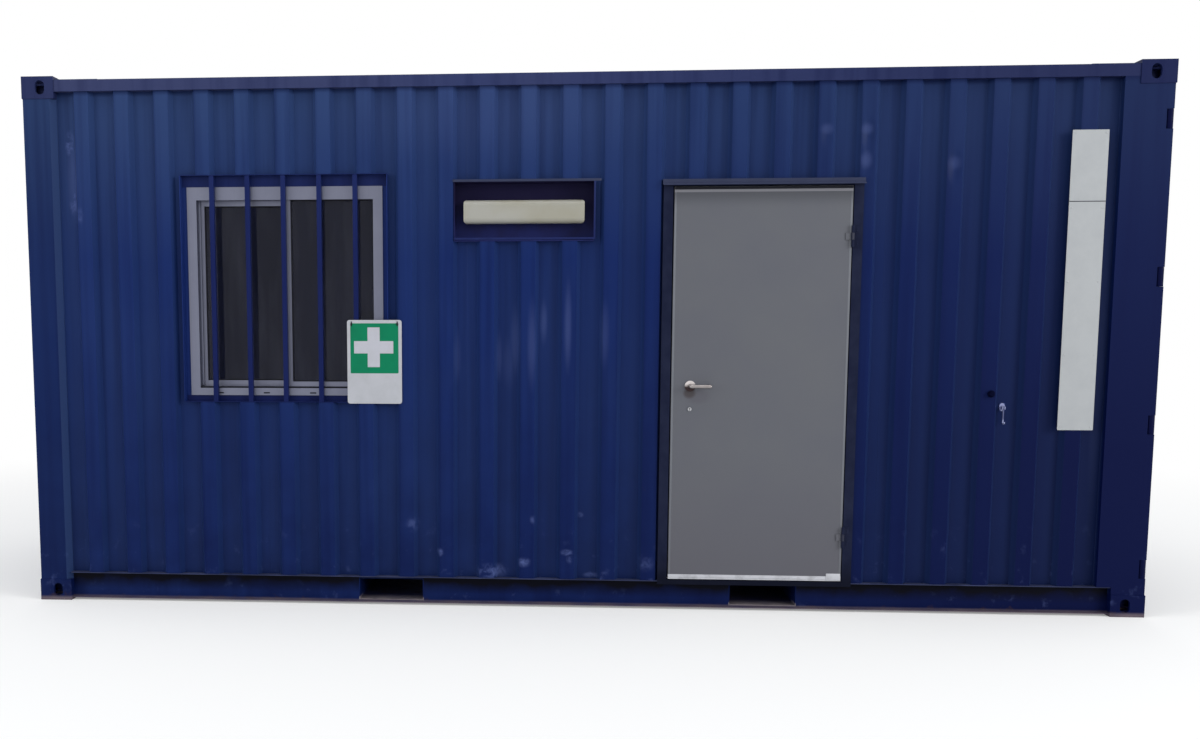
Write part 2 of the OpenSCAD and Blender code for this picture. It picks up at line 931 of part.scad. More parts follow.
module door_edge_caps() {
    color(pale) {
        slab(door_u, [leaf_d, leaf_d + door_t], [door_low, door_low + 26]);
        slab(door_u, [leaf_d, leaf_d + door_t], [door_top - 28, door_top]);
    }
}

module frame_hinge_leaves() {
    third = hinge_h / 3;
    color(dark)
        for (z = hinge_zs)
            for (s = [0, 2])
                union() {
                    at(hinge_u, hinge_d, z - hinge_h / 2 + s * third + 0.5)
                        cylinder(h = third - 1, r = knuckle_r);
                    slab([hinge_u, hinge_u + 34], [frame_d - 4, frame_d], about(z - hinge_h / 2 + s * third, 0.5, third - 0.5));
                }
}

module door_hinge_leaves() {
    third = hinge_h / 3;
    color(dark)
        for (z = hinge_zs)
            union() {
                at(hinge_u, hinge_d, z - third / 2 + 0.5)
                    cylinder(h = third - 1, r = knuckle_r);
                slab([hinge_u - 34, hinge_u], [hinge_d + knuckle_r - 3, leaf_d], about(z, -third / 2 + 0.5, third / 2 - 0.5));
            }
}

// Lever, neck, grip and returned end on one side of the door, seen from outside.
module grip() {
    end = lever_l - lever_r;
    translate([0, -lever_out, 0])
        rotate([-90, 0, 0])
            cylinder(h = lever_out, r = lever_r);
    translate([0, -lever_out, 0])
        rotate([0, 90, 0])
            cylinder(h = end, r = lever_r);
    translate([end, -lever_out, 0])
        rotate([-90, 0, 0])
            cylinder(h = lever_back, r = lever_r);
    for (x = [0, end])
        translate([x, -lever_out, 0])
            sphere(lever_r);
}

module lever_handle() {
    color(metal)
        at(spindle_u, 0, lever_z)
            union() {
                translate([0, leaf_d, 0])
                    grip();
                translate([0, leaf_d + door_t, 0])
                    mirror([0, 1, 0])
                        grip();
                translate([0, leaf_d - 1, 0])
                    rotate([-90, 0, 0])
                        cylinder(h = door_t + 2, r = lever_r);
            }
}

module lock_furniture() {
    color(metal) {
        for (d = [leaf_d - 8, leaf_d + door_t])
            at(spindle_u, d, lever_z)
                rotate([-90, 0, 0])
                    difference() {
                        cylinder(h = 8, r = rose_r);
                        translate([0, 0, -1])
                            cylinder(h = 10, r = lever_r + 1);
                    }
        at(spindle_u, leaf_d - 6, lever_z - key_drop)
            rotate([-90, 0, 0])
                cylinder(h = 6, r = key_r);
        at(spindle_u, leaf_d + door_t, lever_z - key_drop)
            rotate([-90, 0, 0])
                cylinder(h = 6, r = key_r);
    }
}

// A thin board with rounded corners, standing with its face to -Y.
module board(w, h, t, r) {
    rotate([90, 0, 0])
        linear_extrude(t)
            union() {
                translate([r, 0])
                    square([w - 2 * r, h]);
                translate([0, r])
                    square([w, h - 2 * r]);
                for (x = [r, w - r])
                    for (y = [r, h - r])
                        translate([x, y])
                            circle(r);
            }
}

module first_aid_sign() {
    color(pale)
        at(sign_from_left * stretch, lip_d, sign_z * rise)
            board(sign_w, sign_h, 3, 14);
}

module name_panel() {
    color(pale)
        at(length - panel_from_right - panel_w, wall_d, panel_z * rise)
            board(panel_w, panel_h * rise, 3, 4);
}

module hook_plate() {
    d = wall_d + corr_d;
    color(metal)
        union() {
            slab(about(hook_u, -15, 15), [d - 3, d], about(hook_z, -18, 26));
            for (s = [-8, 4])
                slab(about(hook_u, s, s + 4), [hook_d - 8, d], about(hook_z, -8, 8));
            at(hook_u - 8, hook_d, hook_z)
                rotate([0, 90, 0])
                    cylinder(h = 16, r = 4);
        }
}

module rubber_buffer() {
    color(dark)
        at(hook_u - hook_in - slope - flat_out / 2 + 14, wall_d, buffer_z)
            rotate([90, 0, 0]) {
                cylinder(h = 10, r = buffer_r);
                translate([0, 0, 10])
                    cylinder(h = 14, r1 = buffer_r, r2 = buffer_r - 6);
            }
}

module door_hook() {
    bend = 11;
    r = 3;
    color(metal)
        at(hook_u - r, hook_d, hook_z)
            rotate([90, 0, 90])
                linear_extrude(2 * r)
                    difference() {
                        union() {
                            circle(9);
                            translate([-r, bend - hook_l])
                                square([2 * r, hook_l - bend]);
                            difference() {
                                translate([-bend, bend - hook_l])
                                    circle(bend + r);
                                translate([-bend, bend - hook_l])
                                    circle(bend - r);
                                translate([-3 * bend, bend - hook_l])
                                    square([4 * bend, 2 * bend]);
                            }
                        }
                        circle(4.5);
                    }
}

bottom_corner_castings();
top_corner_castings();
closed_end_posts();
cargo_end_posts();
top_side_rails();
bottom_side_rails();
end_rails();
fork_pockets();
floor_cross_members();
floor_deck();
front_wall_left();
front_wall_window_bay();
front_wall_beside_light();
front_wall_light_bay();
front_wall_over_door();
front_wall_right();
rear_wall();
closed_end_wall();
roof_panel();
cargo_door_left();
cargo_door_right();
cargo_lock_rods();
cargo_lock_handles();
cargo_rod_brackets();
cargo_hinges();
cargo_door_gaskets();
front_lining_tall();
front_lining_short();
rear_lining();
end_linings();
ceiling_lining();
window_head_and_sill();
window_side_reveals();
window_bars();
window_frame();
sliding_sash();
window_glass();
light_recess();
light_base();
light_diffuser();
door_jambs();
door_head();
door_threshold();
drip_flashing();
door_leaf();
door_edge_caps();
frame_hinge_leaves();
door_hinge_leaves();
lever_handle();
lock_furniture();
first_aid_sign();
name_panel();
hook_plate();
door_hook();
rubber_buffer();
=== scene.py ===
import math

import bmesh
import bpy
from mathutils import Matrix, Vector


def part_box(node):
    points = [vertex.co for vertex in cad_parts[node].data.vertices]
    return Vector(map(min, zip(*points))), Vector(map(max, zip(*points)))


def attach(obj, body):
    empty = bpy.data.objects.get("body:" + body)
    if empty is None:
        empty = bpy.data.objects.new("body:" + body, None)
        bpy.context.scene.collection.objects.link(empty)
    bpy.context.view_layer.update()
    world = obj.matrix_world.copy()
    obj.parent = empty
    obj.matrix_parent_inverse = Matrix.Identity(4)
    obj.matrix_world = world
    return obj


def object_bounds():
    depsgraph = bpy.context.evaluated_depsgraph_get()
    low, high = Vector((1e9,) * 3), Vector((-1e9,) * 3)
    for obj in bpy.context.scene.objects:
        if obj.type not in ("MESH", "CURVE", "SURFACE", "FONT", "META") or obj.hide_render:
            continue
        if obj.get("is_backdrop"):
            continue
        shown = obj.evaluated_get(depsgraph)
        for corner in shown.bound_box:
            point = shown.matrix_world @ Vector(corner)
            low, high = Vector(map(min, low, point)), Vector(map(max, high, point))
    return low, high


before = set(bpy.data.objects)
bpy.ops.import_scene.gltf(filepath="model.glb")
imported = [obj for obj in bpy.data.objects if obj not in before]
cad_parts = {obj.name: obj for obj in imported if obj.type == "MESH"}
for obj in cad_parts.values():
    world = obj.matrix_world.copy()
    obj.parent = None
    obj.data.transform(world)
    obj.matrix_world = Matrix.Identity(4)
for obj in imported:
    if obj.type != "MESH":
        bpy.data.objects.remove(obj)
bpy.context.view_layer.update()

# The viewpoint: a picture taken by hand about six and a half metres in front of the long wall,
# at eye height, a little left of the middle of the wall and tilted slightly down.
photo_w = 1200
focal_px = 1200
sensor_mm = 36
eye = Vector((-0.1054, -7.7388, 1.5271))
turned_left = math.radians(4.124)
tilted_down = math.radians(6.241)
off_centre_px = (129.3, 91.5)
lens = bpy.data.cameras.new("viewpoint")
lens.sensor_width = sensor_mm
lens.lens = sensor_mm * focal_px / photo_w
lens.shift_x = off_centre_px[0] / photo_w
lens.shift_y = off_centre_px[1] / photo_w
lens.clip_end = 200
camera = bpy.data.objects.new("viewpoint", lens)
camera.location = eye
camera.rotation_euler = (math.pi / 2 - tilted_down, 0, turned_left)
bpy.context.scene.collection.objects.link(camera)
bpy.context.scene.camera = camera
bpy.context.scene.view_settings.view_transform = "Standard"

# The studio: a pale seamless floor in an evenly lit white surround, with a broad soft lamp at each
# end of the long wall, the right one stronger, one overhead and one behind.
floor_tone = "e6e6e4"
sky_tone = "f4f6fb"
paper_tone = "ffffff"
sky_level = 0.66
floor_lift = 0.25
floor_near = 4.5
floor_far = 9.0
floor_reach = 60
floor_drop = 0.001


def linear(code):
    """Turns an sRGB hex colour into linear red, green, blue and alpha."""
    values = [int(code[i:i + 2], 16) / 255 for i in (0, 2, 4)]
    return [v / 12.92 if v <= 0.04045 else ((v + 0.055) / 1.055) ** 2.4 for v in values] + [1.0]


def feed(tree, node, inputs):
    """Feeds the inputs of a node with values, or with what other nodes give."""
    for key, value in inputs.items():
        if isinstance(value, bpy.types.ShaderNodeMix):
            value = value.outputs[2]
        elif isinstance(value, bpy.types.Node):
            value = value.outputs[0]
        if isinstance(value, bpy.types.NodeSocket):
            tree.links.new(value, node.inputs[key])
        else:
            node.inputs[key].default_value = value


def add(tree, kind, inputs=None, **settings):
    """Adds one node, gives it its settings and feeds its inputs."""
    made = tree.nodes.new("ShaderNode" + kind)
    for name, value in settings.items():
        setattr(made, name, value)
    feed(tree, made, inputs or {})
    return made


def seen_directly(tree):
    """Gives 1 for rays that come from the eye, a mirror or a pane, and 0 for light that falls on things."""
    path = add(tree, "LightPath")
    two = add(tree, "Math", {0: path.outputs["Is Camera Ray"], 1: path.outputs["Is Glossy Ray"]},
              operation="MAXIMUM")
    return add(tree, "Math", {0: two, 1: path.outputs["Is Transmission Ray"]}, operation="MAXIMUM")


surround = bpy.data.worlds.new("white_surround")
surround.use_nodes = True
tree = surround.node_tree
tree.nodes.clear()
skylight = add(tree, "Background", {"Color": linear(sky_tone), "Strength": sky_level})
paper = add(tree, "Background", {"Color": linear(paper_tone), "Strength": 1})
either = add(tree, "MixShader", {0: seen_directly(tree), 1: skylight, 2: paper})
add(tree, "OutputWorld", {0: either})
bpy.context.scene.world = surround

paper_floor = bpy.data.materials.new("pale_paper_floor")
paper_floor.use_nodes = True
tree = paper_floor.node_tree
tree.nodes.clear()
matt = add(tree, "BsdfDiffuse", {"Color": linear(floor_tone)})
direct = seen_directly(tree)
lift = add(tree, "Math", {0: direct, 1: floor_lift}, operation="MULTIPLY")
glow = add(tree, "Emission", {"Color": linear(paper_tone), "Strength": lift})
near = add(tree, "AddShader", {0: matt, 1: glow})
# further out the floor runs into the white surround, so that no horizon shows
white = add(tree, "Emission", {"Color": linear(paper_tone), "Strength": 1})
ground = add(tree, "TexCoord").outputs["Object"]
away = add(tree, "VectorMath", {0: ground}, operation="LENGTH").outputs["Value"]
out_share = add(tree, "MapRange", {0: away, 1: floor_near, 2: floor_far, 3: 0, 4: 1},
                interpolation_type="SMOOTHSTEP")
out_seen = add(tree, "Math", {0: out_share, 1: direct}, operation="MULTIPLY")
both = add(tree, "MixShader", {0: out_seen, 1: near, 2: white})
add(tree, "OutputMaterial", {0: both})

sheet = bmesh.new()
bmesh.ops.create_grid(sheet, x_segments=1, y_segments=1, size=floor_reach,
                      matrix=Matrix.Translation((0, 0, -floor_drop)))
floor_data = bpy.data.meshes.new("studio_floor")
sheet.to_mesh(floor_data)
sheet.free()
floor_data.materials.append(paper_floor)
studio_floor = bpy.data.objects.new("studio_floor", floor_data)
bpy.context.scene.collection.objects.link(studio_floor)
studio_floor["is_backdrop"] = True


def lamp(name, stand, aim, size, power):
    """Hangs a square soft lamp at a place, turned to a point."""
    data = bpy.data.lights.new(name, "AREA")
    data.shape = "SQUARE"
    data.size = size
    data.energy = power
    made = bpy.data.objects.new(name, data)
    made.location = stand
    made.rotation_euler = (Vector(aim) - Vector(stand)).to_track_quat("-Z", "Y").to_euler()
    bpy.context.scene.collection.objects.link(made)


lamp("right_lamp", (11.0, -7.5, 4.5), (-0.5, -1.2, 1.4), 5.0, 700)
lamp("left_lamp", (-11.0, -7.5, 4.5), (0.5, -1.2, 1.4), 5.0, 350)
lamp("overhead_lamp", (-1.0, -2.5, 9.0), (-0.5, -0.5, 0.0), 7.0, 200)
lamp("rear_lamp", (2.0, 9.0, 6.5), (0.0, 1.0, 1.4), 7.0, 160)

# The corner castings, posts and rails: cast and folded steel welded into one frame, blasted, primed
# and sprayed with blue marine enamel. Handling has rubbed it, and rust shows where water stands.
length_mm = 6058
width_mm = 2438
wall_blue = "14285f"
wall_faded_and_lit = "30446e"
wall_grime_and_shade = "030d39"
post_blue = "0c2052"
post_faded = "273a60"
casting_faded = "2b3256"
rail_faded = "3b4163"
chip_and_sheen_tone = "5f6ea6"
rust_tone = "3d2d2c"
mud_tone = "6b6068"
strong_rub = 0.24


def spot(u, d, z):
    """A point given in millimetres from the left end, from the front face and from the ground."""
    return Vector(((u - length_mm / 2) / 1000, (d - width_mm / 2) / 1000, z / 1000))


def blank(name):
    """Starts a material and gives its tree, its shader and its place on the object."""
    material = bpy.data.materials.new(name)
    material.use_nodes = True
    tree = material.node_tree
    place = add(tree, "TexCoord").outputs["Object"]
    return material, tree, tree.nodes["Principled BSDF"], place


def ellipse(tree, place, middle, half_w, half_h):
    """How far a point is from the middle of an upright ellipse with half sizes in mm: 1 on its edge."""
    stretch = Vector((1000 / half_w, 0, 1000 / half_h))
    near = add(tree, "VectorMath", {0: place, 1: stretch, 2: -middle * stretch}, operation="MULTIPLY_ADD")
    return add(tree, "VectorMath", {0: near}, operation="LENGTH").outputs["Value"]


def stain(tree, skin, share, code):
    """Lays a stain over the colour that a finish has so far, as strong as its share."""
    so_far = skin.inputs["Base Color"].links[0].from_socket
    tone = add(tree, "Mix", {0: share, 6: so_far, 7: linear(code)}, data_type="RGBA")
    feed(tree, skin, {"Base Color": tone})


def weathered_enamel(name, paint, faded, rust_top, gloss, waves,
                     ribs=0.0, dents=(), rubs_and_sheens=(), pitch=0.0, first=0.0):
    """Sprayed enamel on steel: it is paler towards the top and the left and darker towards the right and the
    foot, partly from sun fading, soot and splashes and partly as painted light and shade. Rain draws runs,
    and rust and mud sit along the lowest edges. Ribs is how far painted light pales the slopes and valleys of
    pressed ribs. Dents are shallow knocks, and rubs_and_sheens are pale smears, scuffs and painted sheen,
    each given by its middle, half width and half height in mm, and its depth or strength. Where the ribs'
    pitch is given, a line of painted shade runs down the left shoulder of each rib, and painted light pales
    the right side of each valley."""
    material, tree, skin, place = blank(name)
    axes = add(tree, "SeparateXYZ", {0: place})
    along = axes.outputs[0]
    up = axes.outputs[2]
    # the fading is clouded in patches of about 800 mm
    cloud = add(tree, "TexNoise", {"Vector": place, "Scale": 1.3, "Detail": 4, "Roughness": 0.55})
    clouded = add(tree, "MapRange", {0: cloud, 1: 0.35, 2: 0.7, 3: -0.05, 4: 0.13})
    # paler towards the top and towards the left end: partly sun fading, partly painted light
    sun_fade_and_top_light = add(tree, "MapRange", {0: up, 1: 1.9, 2: 2.75, 3: 0, 4: 0.70})
    left_fade_and_light = add(tree, "MapRange", {0: along, 1: -0.6, 2: -3, 3: 0, 4: 0.13})
    fade = add(tree, "Math", {0: clouded, 1: sun_fade_and_top_light}, operation="ADD")
    fade_and_light_share = add(tree, "Math", {0: fade, 1: left_fade_and_light}, operation="ADD", use_clamp=True)
    tone = add(tree, "Mix", {0: fade_and_light_share, 6: linear(paint), 7: linear(faded)}, data_type="RGBA")
    feed(tree, skin, {"Base Color": tone})
    # darker towards the right end and low down: partly soot, partly painted shade
    right_soot_and_shade = add(tree, "MapRange", {0: along, 1: -0.4, 2: 2.6, 3: 0, 4: 0.95})
    low_soot_and_shade = add(tree, "MapRange", {0: up, 1: 2.6, 2: 0.9, 3: 0.62, 4: 1.05})
    soot_and_shade_share = add(tree, "Math", {0: right_soot_and_shade, 1: low_soot_and_shade}, operation="MULTIPLY")
    stain(tree, skin, soot_and_shade_share, wall_grime_and_shade)
    # rain runs are about 50 mm wide and a metre or two long
    tall = add(tree, "Mapping", {0: place, 3: (20.0, 20.0, 0.6)})
    runs = add(tree, "TexNoise", {"Vector": tall, "Scale": 1, "Detail": 4})
    run_share = add(tree, "MapRange", {0: runs, 1: 0.45, 2: 0.8, 3: 0, 4: 0.5})
    stain(tree, skin, run_share, wall_grime_and_shade)
    # splashes darken the lowest metre, thinning out in patches of 200 mm; the darkening is partly painted
    # shade
    splash = add(tree, "TexNoise", {"Vector": place, "Scale": 5, "Detail": 5})
    low_splash_and_shade = add(tree, "MapRange", {0: up, 1: 1.5, 2: 0.1, 3: 0, 4: 1})
    splash_and_shade_share = add(tree, "Math", {0: low_splash_and_shade, 1: splash}, operation="MULTIPLY")
    stain(tree, skin, splash_and_shade_share, wall_grime_and_shade)
    if ribs:
        # painted light pales the slopes of the ribs, chosen by the way each faces, and a little the valleys
        left_lift = (1.15 if pitch else 0.62) * ribs
        valley_lift = (0.50 if pitch else 0.38) * ribs
        facing = add(tree, "SeparateXYZ", {0: add(tree, "TexCoord").outputs["Normal"]})
        lean = add(tree, "Math", {0: facing.outputs[0], 1: facing.outputs[1]}, operation="MULTIPLY")
        painted_light_right_slopes = add(tree, "MapRange", {0: lean, 1: -0.05, 2: -0.45, 3: 0, 4: ribs})
        painted_light_left_slopes = add(tree, "MapRange", {0: lean, 1: 0.05, 2: 0.45, 3: 0, 4: left_lift})
        painted_light_slopes = add(tree, "Math", {0: painted_light_right_slopes, 1: painted_light_left_slopes}, operation="ADD")
        depth = add(tree, "Math", {0: axes.outputs[1]}, operation="ABSOLUTE")
        painted_light_valleys = add(tree, "MapRange", {0: depth, 1: 1.200, 2: 1.175, 3: 0, 4: valley_lift})
        chalk_share = add(tree, "Math", {0: painted_light_slopes, 1: painted_light_valleys}, operation="MAXIMUM")
        stain(tree, skin, chalk_share, wall_faded_and_lit)
        # painted shadow darkens the last 25 mm under the top rail
        corner = add(tree, "MapRange", {0: up, 1: 2.788, 2: 2.808, 3: 0, 4: 0.55})
        stain(tree, skin, corner, wall_grime_and_shade)
    if pitch:
        # phase runs from 0 at the middle of one flat to 1 at the middle of the next
        count = add(tree, "Math", {0: along, 1: 1 / pitch, 2: -first / pitch}, operation="MULTIPLY_ADD")
        phase = add(tree, "Math", {0: count}, operation="FRACT")
        # the first band is painted light on the right side of each valley, the second a line of painted shade
        # down the left shoulder of each rib
        for starts, full, most, wanes, ends, left_over, line_code in (
                (0.42, 0.58, 0.04, 0.68, 0.74, 0.0, wall_faded_and_lit),
                (0.76, 0.80, 0.22, 0.83, 0.90, 0.1, wall_grime_and_shade)):
            line_on = add(tree, "MapRange", {0: phase, 1: starts, 2: full, 3: 0, 4: most},
                          interpolation_type="SMOOTHSTEP")
            line_off = add(tree, "MapRange", {0: phase, 1: wanes, 2: ends, 3: 1, 4: left_over},
                           interpolation_type="SMOOTHSTEP")
            line_share = add(tree, "Math", {0: line_on, 1: line_off}, operation="MULTIPLY")
            stain(tree, skin, line_share, line_code)
    # faint scuffs of 20 to 60 mm, low down
    scuff = add(tree, "TexNoise", {"Vector": place, "Scale": 16, "Detail": 6, "Roughness": 0.62})
    scuff_edge = add(tree, "MapRange", {0: scuff, 1: 0.60, 2: 0.76, 3: 0, 4: 0.22})
    scuff_top = add(tree, "MapRange", {0: up, 1: 0.55, 2: 0.2, 3: 0, 4: 1})
    scuffs_and_sheen = add(tree, "Math", {0: scuff_edge, 1: scuff_top}, operation="MULTIPLY")
    # strong rubs are scuffs broken up by a grain of 25 mm, and weak ones are smooth, most of them painted
    # sheen and painted light
    grain = add(tree, "TexNoise",
                {"Vector": place, "Scale": 26, "Detail": 6, "Roughness": 0.55, "Distortion": 0.4})
    broken = add(tree, "MapRange", {0: grain, 1: 0.40, 2: 0.62, 3: 0.05, 4: 1})
    for u, z, half_w, half_h, strength in rubs_and_sheens:
        apart = ellipse(tree, place, spot(u, 0, z), half_w, half_h)
        smear = add(tree, "MapRange", {0: apart, 1: 0.15, 2: 1, 3: strength, 4: 0},
                    interpolation_type="SMOOTHSTEP")
        if strength > strong_rub:
            smear = add(tree, "Math", {0: smear, 1: broken}, operation="MULTIPLY")
        scuffs_and_sheen = add(tree, "Math", {0: scuffs_and_sheen, 1: smear}, operation="MAXIMUM")
    stain(tree, skin, scuffs_and_sheen, chip_and_sheen_tone)
    # rust blooms of 20 to 60 mm climb from the lowest edges
    bloom = add(tree, "TexNoise", {"Vector": place, "Scale": 18, "Detail": 8, "Roughness": 0.65})
    low = add(tree, "MapRange", {0: up, 1: rust_top, 2: 0, 3: 0.24, 4: 0.50})
    rust = add(tree, "Math", {0: low, 1: bloom}, operation="SUBTRACT")
    rust_share = add(tree, "MapRange", {0: rust, 1: -0.06, 2: 0.06, 3: 0, 4: 0.5})
    stain(tree, skin, rust_share, rust_tone)
    # dried mud covers the last 20 mm above the ground
    mud = add(tree, "MapRange", {0: up, 1: 0.027, 2: 0.012, 3: 0, 4: 1.7})
    mud_share = add(tree, "Math", {0: mud, 1: splash}, operation="MULTIPLY", use_clamp=True)
    stain(tree, skin, mud_share, mud_tone)
    wear_and_sheen = add(tree, "Math", {0: scuffs_and_sheen, 1: rust_share}, operation="ADD", use_clamp=True)
    dull = add(tree, "MapRange", {0: cloud, 1: 0.3, 2: 0.7, 3: gloss - 0.06, 4: gloss + 0.10})
    rough = add(tree, "Math", {0: wear_and_sheen, 1: 0.35, 2: dull}, operation="MULTIPLY_ADD", use_clamp=True)
    # spray leaves a 3 mm orange peel, and the sheet itself waves by a millimetre or so
    peel = add(tree, "TexNoise", {"Vector": place, "Scale": 330, "Detail": 2})
    wave = add(tree, "TexNoise", {"Vector": place, "Scale": 3.2, "Detail": 2})
    relief = add(tree, "Bump", {"Strength": waves, "Distance": 0.02, "Height": wave})
    for u, z, half_w, half_h, depth_mm in dents:
        apart = ellipse(tree, place, spot(u, 0, z), half_w, half_h)
        bowl = add(tree, "MapRange", {0: apart, 1: 0, 2: 1, 3: 0, 4: 1},
                   interpolation_type="SMOOTHSTEP")
        relief = add(tree, "Bump",
                     {"Strength": 1, "Distance": depth_mm / 1000, "Height": bowl, "Normal": relief})
    fine = add(tree, "Bump", {"Strength": 0.12, "Distance": 0.0008, "Height": peel, "Normal": relief})
    torn = add(tree, "Bump", {"Strength": 0.5, "Distance": 0.001, "Height": wear_and_sheen, "Normal": fine},
               invert=True)
    feed(tree, skin, {"Roughness": rough, "Specular IOR Level": 0.07, "Normal": torn})
    return material


def reopen(material):
    """Opens a finished material again: its tree, its shader and its place on the object."""
    tree = material.node_tree
    place = add(tree, "TexCoord").outputs["Object"]
    return tree, tree.nodes["Principled BSDF"], place


def dress(material, *nodes):
    """Gives each of these solids its finish."""
    for name in nodes:
        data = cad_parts[name].data
        data.materials.clear()
        data.materials.append(material)


# the frame is darker than the sheets and satin, with rust at its feet; its top rails are paler, partly chalk
# and partly painted light, and painted light pales the slopes of the posts
frame_enamel = weathered_enamel("blue_enamel_on_castings", post_blue, casting_faded,
                                rust_top=0.09, gloss=0.46, waves=0.02)
dress(frame_enamel, "bottom_corner_castings", "top_corner_castings")
post_enamel = weathered_enamel("blue_enamel_on_posts", post_blue, post_faded,
                               rust_top=0.09, gloss=0.46, waves=0.02, ribs=0.6)
dress(post_enamel, "closed_end_posts", "cargo_end_posts")
rail_enamel = weathered_enamel("chalked_blue_enamel_on_top_rails", wall_blue, rail_faded,
                               rust_top=0.0, gloss=0.5, waves=0.02)
dress(rail_enamel, "top_side_rails", "end_rails")

# The fork pockets: steel boxes welded through the base and painted with the frame. Mud that the forks
# brought in has dried on their floors at both mouths.
pocket_mud = "7f777b"
pocket_enamel = weathered_enamel("muddy_blue_enamel_in_pockets", post_blue, post_faded,
                                 rust_top=0.09, gloss=0.5, waves=0.02)
tree, skin, place = reopen(pocket_enamel)
axes = add(tree, "SeparateXYZ", {0: place})
# the mud reaches about 160 mm in and lies a few millimetres thick
crumbs = add(tree, "TexNoise", {"Vector": place, "Scale": 14, "Detail": 6})
out_from_middle = add(tree, "Math", {0: axes.outputs[1]}, operation="ABSOLUTE")
inward = add(tree, "MapRange", {0: out_from_middle, 1: 1.05, 2: 1.18, 3: 0, 4: 2})
low_down = add(tree, "MapRange", {0: axes.outputs[2], 1: 0.040, 2: 0.032, 3: 0, 4: 1})
caked = add(tree, "Math", {0: inward, 1: low_down}, operation="MULTIPLY")
caked_share = add(tree, "Math", {0: caked, 1: crumbs}, operation="MULTIPLY", use_clamp=True)
stain(tree, skin, caked_share, pocket_mud)
dress(pocket_enamel, "fork_pockets")

# The bottom rails: pressed channels under the wall sheets, painted with the frame. A painted highlight
# pales the edge of their upper flange, and painted shadow darkens the rail under it.
painted_flange_highlight = "3b4160"
painted_shadow_under_flange = "020310"
sill_enamel = weathered_enamel("blue_enamel_with_painted_shade_on_bottom_rails", wall_blue, wall_faded_and_lit,
                               rust_top=0.06, gloss=0.5, waves=0.02)
tree, skin, place = reopen(sill_enamel)
height = add(tree, "SeparateXYZ", {0: place}).outputs[2]
smutch = add(tree, "TexNoise", {"Vector": place, "Scale": 7, "Detail": 5})
# painted shadow is darkest in the 40 mm under the flange, and the painted highlight is the flange's last
# millimetre
for starts, ends, most, mark_code in ((0.060, 0.135, 2.3, painted_shadow_under_flange), (0.1545, 0.1555, 1.5, painted_flange_highlight)):
    reach = add(tree, "MapRange", {0: height, 1: starts, 2: ends, 3: 0, 4: most})
    share = add(tree, "Math", {0: reach, 1: smutch}, operation="MULTIPLY", use_clamp=True)
    stain(tree, skin, share, mark_code)
dress(sill_enamel, "bottom_side_rails")

# The weld runs that join castings to posts: laid by hand in short ripples and painted over with
# the frame, so that only their scalloped shape shows.
casting_top = 118
casting_low = 2778
frame_inset = 4
weld_reach = 150
cargo_post_w = 174
weld_r = 3.2
ripple_mm = 7
ripple_neck = 0.72


def edges_of(made):
    """The edges of a shape that has just been added, each once."""
    return list(dict.fromkeys(e for v in made["verts"] for e in v.link_edges))


def bead(shape, start, end, radius):
    """Lays a weld run between two points, with a ripple every few millimetres."""
    run = end - start
    turn = run.to_track_quat("Z", "Y").to_matrix().to_4x4()
    middle = Matrix.Translation((start + end) / 2) @ turn
    made = bmesh.ops.create_cone(shape, cap_ends=True, segments=6, radius1=radius / 1000,
                                 radius2=radius / 1000, depth=run.length, matrix=middle)
    sides = [e for e in edges_of(made) if e.calc_length() > 0.9 * run.length]
    steps = max(2, 2 * round(run.length * 1000 / ripple_mm / 2))
    cut = bmesh.ops.subdivide_edges(shape, edges=sides, cuts=steps - 1)
    ahead = run.normalized()
    for vert in [g for g in cut["geom_inner"] if isinstance(g, bmesh.types.BMVert)]:
        along = (vert.co - start).dot(ahead)
        if round(along / run.length * steps) % 2:
            axis = start + ahead * along
            vert.co = axis + (vert.co - axis) * ripple_neck


def settle(name, shape, material, body, round_over=40):
    """Turns a finished shape into a piece that rides on a body and carries its finish."""
    bmesh.ops.recalc_face_normals(shape, faces=shape.faces)
    for face in shape.faces:
        face.smooth = True
    data = bpy.data.meshes.new(name)
    shape.to_mesh(data)
    shape.free()
    data.set_sharp_from_angle(angle=math.radians(round_over))
    data.materials.append(material)
    piece = bpy.data.objects.new(name, data)
    bpy.context.scene.collection.objects.link(piece)
    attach(piece, body)


welds = bmesh.new()
for level in (casting_top, casting_low):
    for side, inward in ((frame_inset, weld_reach), (width_mm - frame_inset, -weld_reach)):
        corner = spot(frame_inset, side, level)
        bead(welds, corner, spot(weld_reach, side, level), weld_r)
        bead(welds, corner, spot(frame_inset, side + inward, level), weld_r)
        bead(welds, spot(length_mm - cargo_post_w, side, level),
             spot(length_mm - frame_inset, side, level), weld_r)
settle("casting_weld_runs", welds, frame_enamel, "shell")

# The underfloor and deck: pressed steel cross members coated in black bitumen, carrying plywood
# boards that are covered inside with grey sheet vinyl.
bitumen_tone = "17171a"
bitumen_dust = "3a3531"
vinyl_tone = "767a7e"
vinyl_fleck = "9a9da0"


def mottled(name, first, second, scale, detail, broken=0.5, edges=(0.0, 1.0), most=1.0):
    """Starts a finish of two tones in soft patches: its material, tree, shader, place and patches."""
    material, tree, skin, place = blank(name)
    patches = add(tree, "TexNoise",
                  {"Vector": place, "Scale": scale, "Detail": detail, "Roughness": broken})
    share = add(tree, "MapRange", {0: patches, 1: edges[0], 2: edges[1], 3: 0, 4: most})
    tone = add(tree, "Mix", {0: share, 6: linear(first), 7: linear(second)}, data_type="RGBA")
    feed(tree, skin, {"Base Color": tone})
    return material, tree, skin, place, patches


def dull_with(tree, skin, patches, smooth, dull):
    """Lets the patches of a finish change its roughness between two values."""
    rough = add(tree, "MapRange", {0: patches, 1: 0.3, 2: 0.7, 3: smooth, 4: dull})
    feed(tree, skin, {"Roughness": rough})


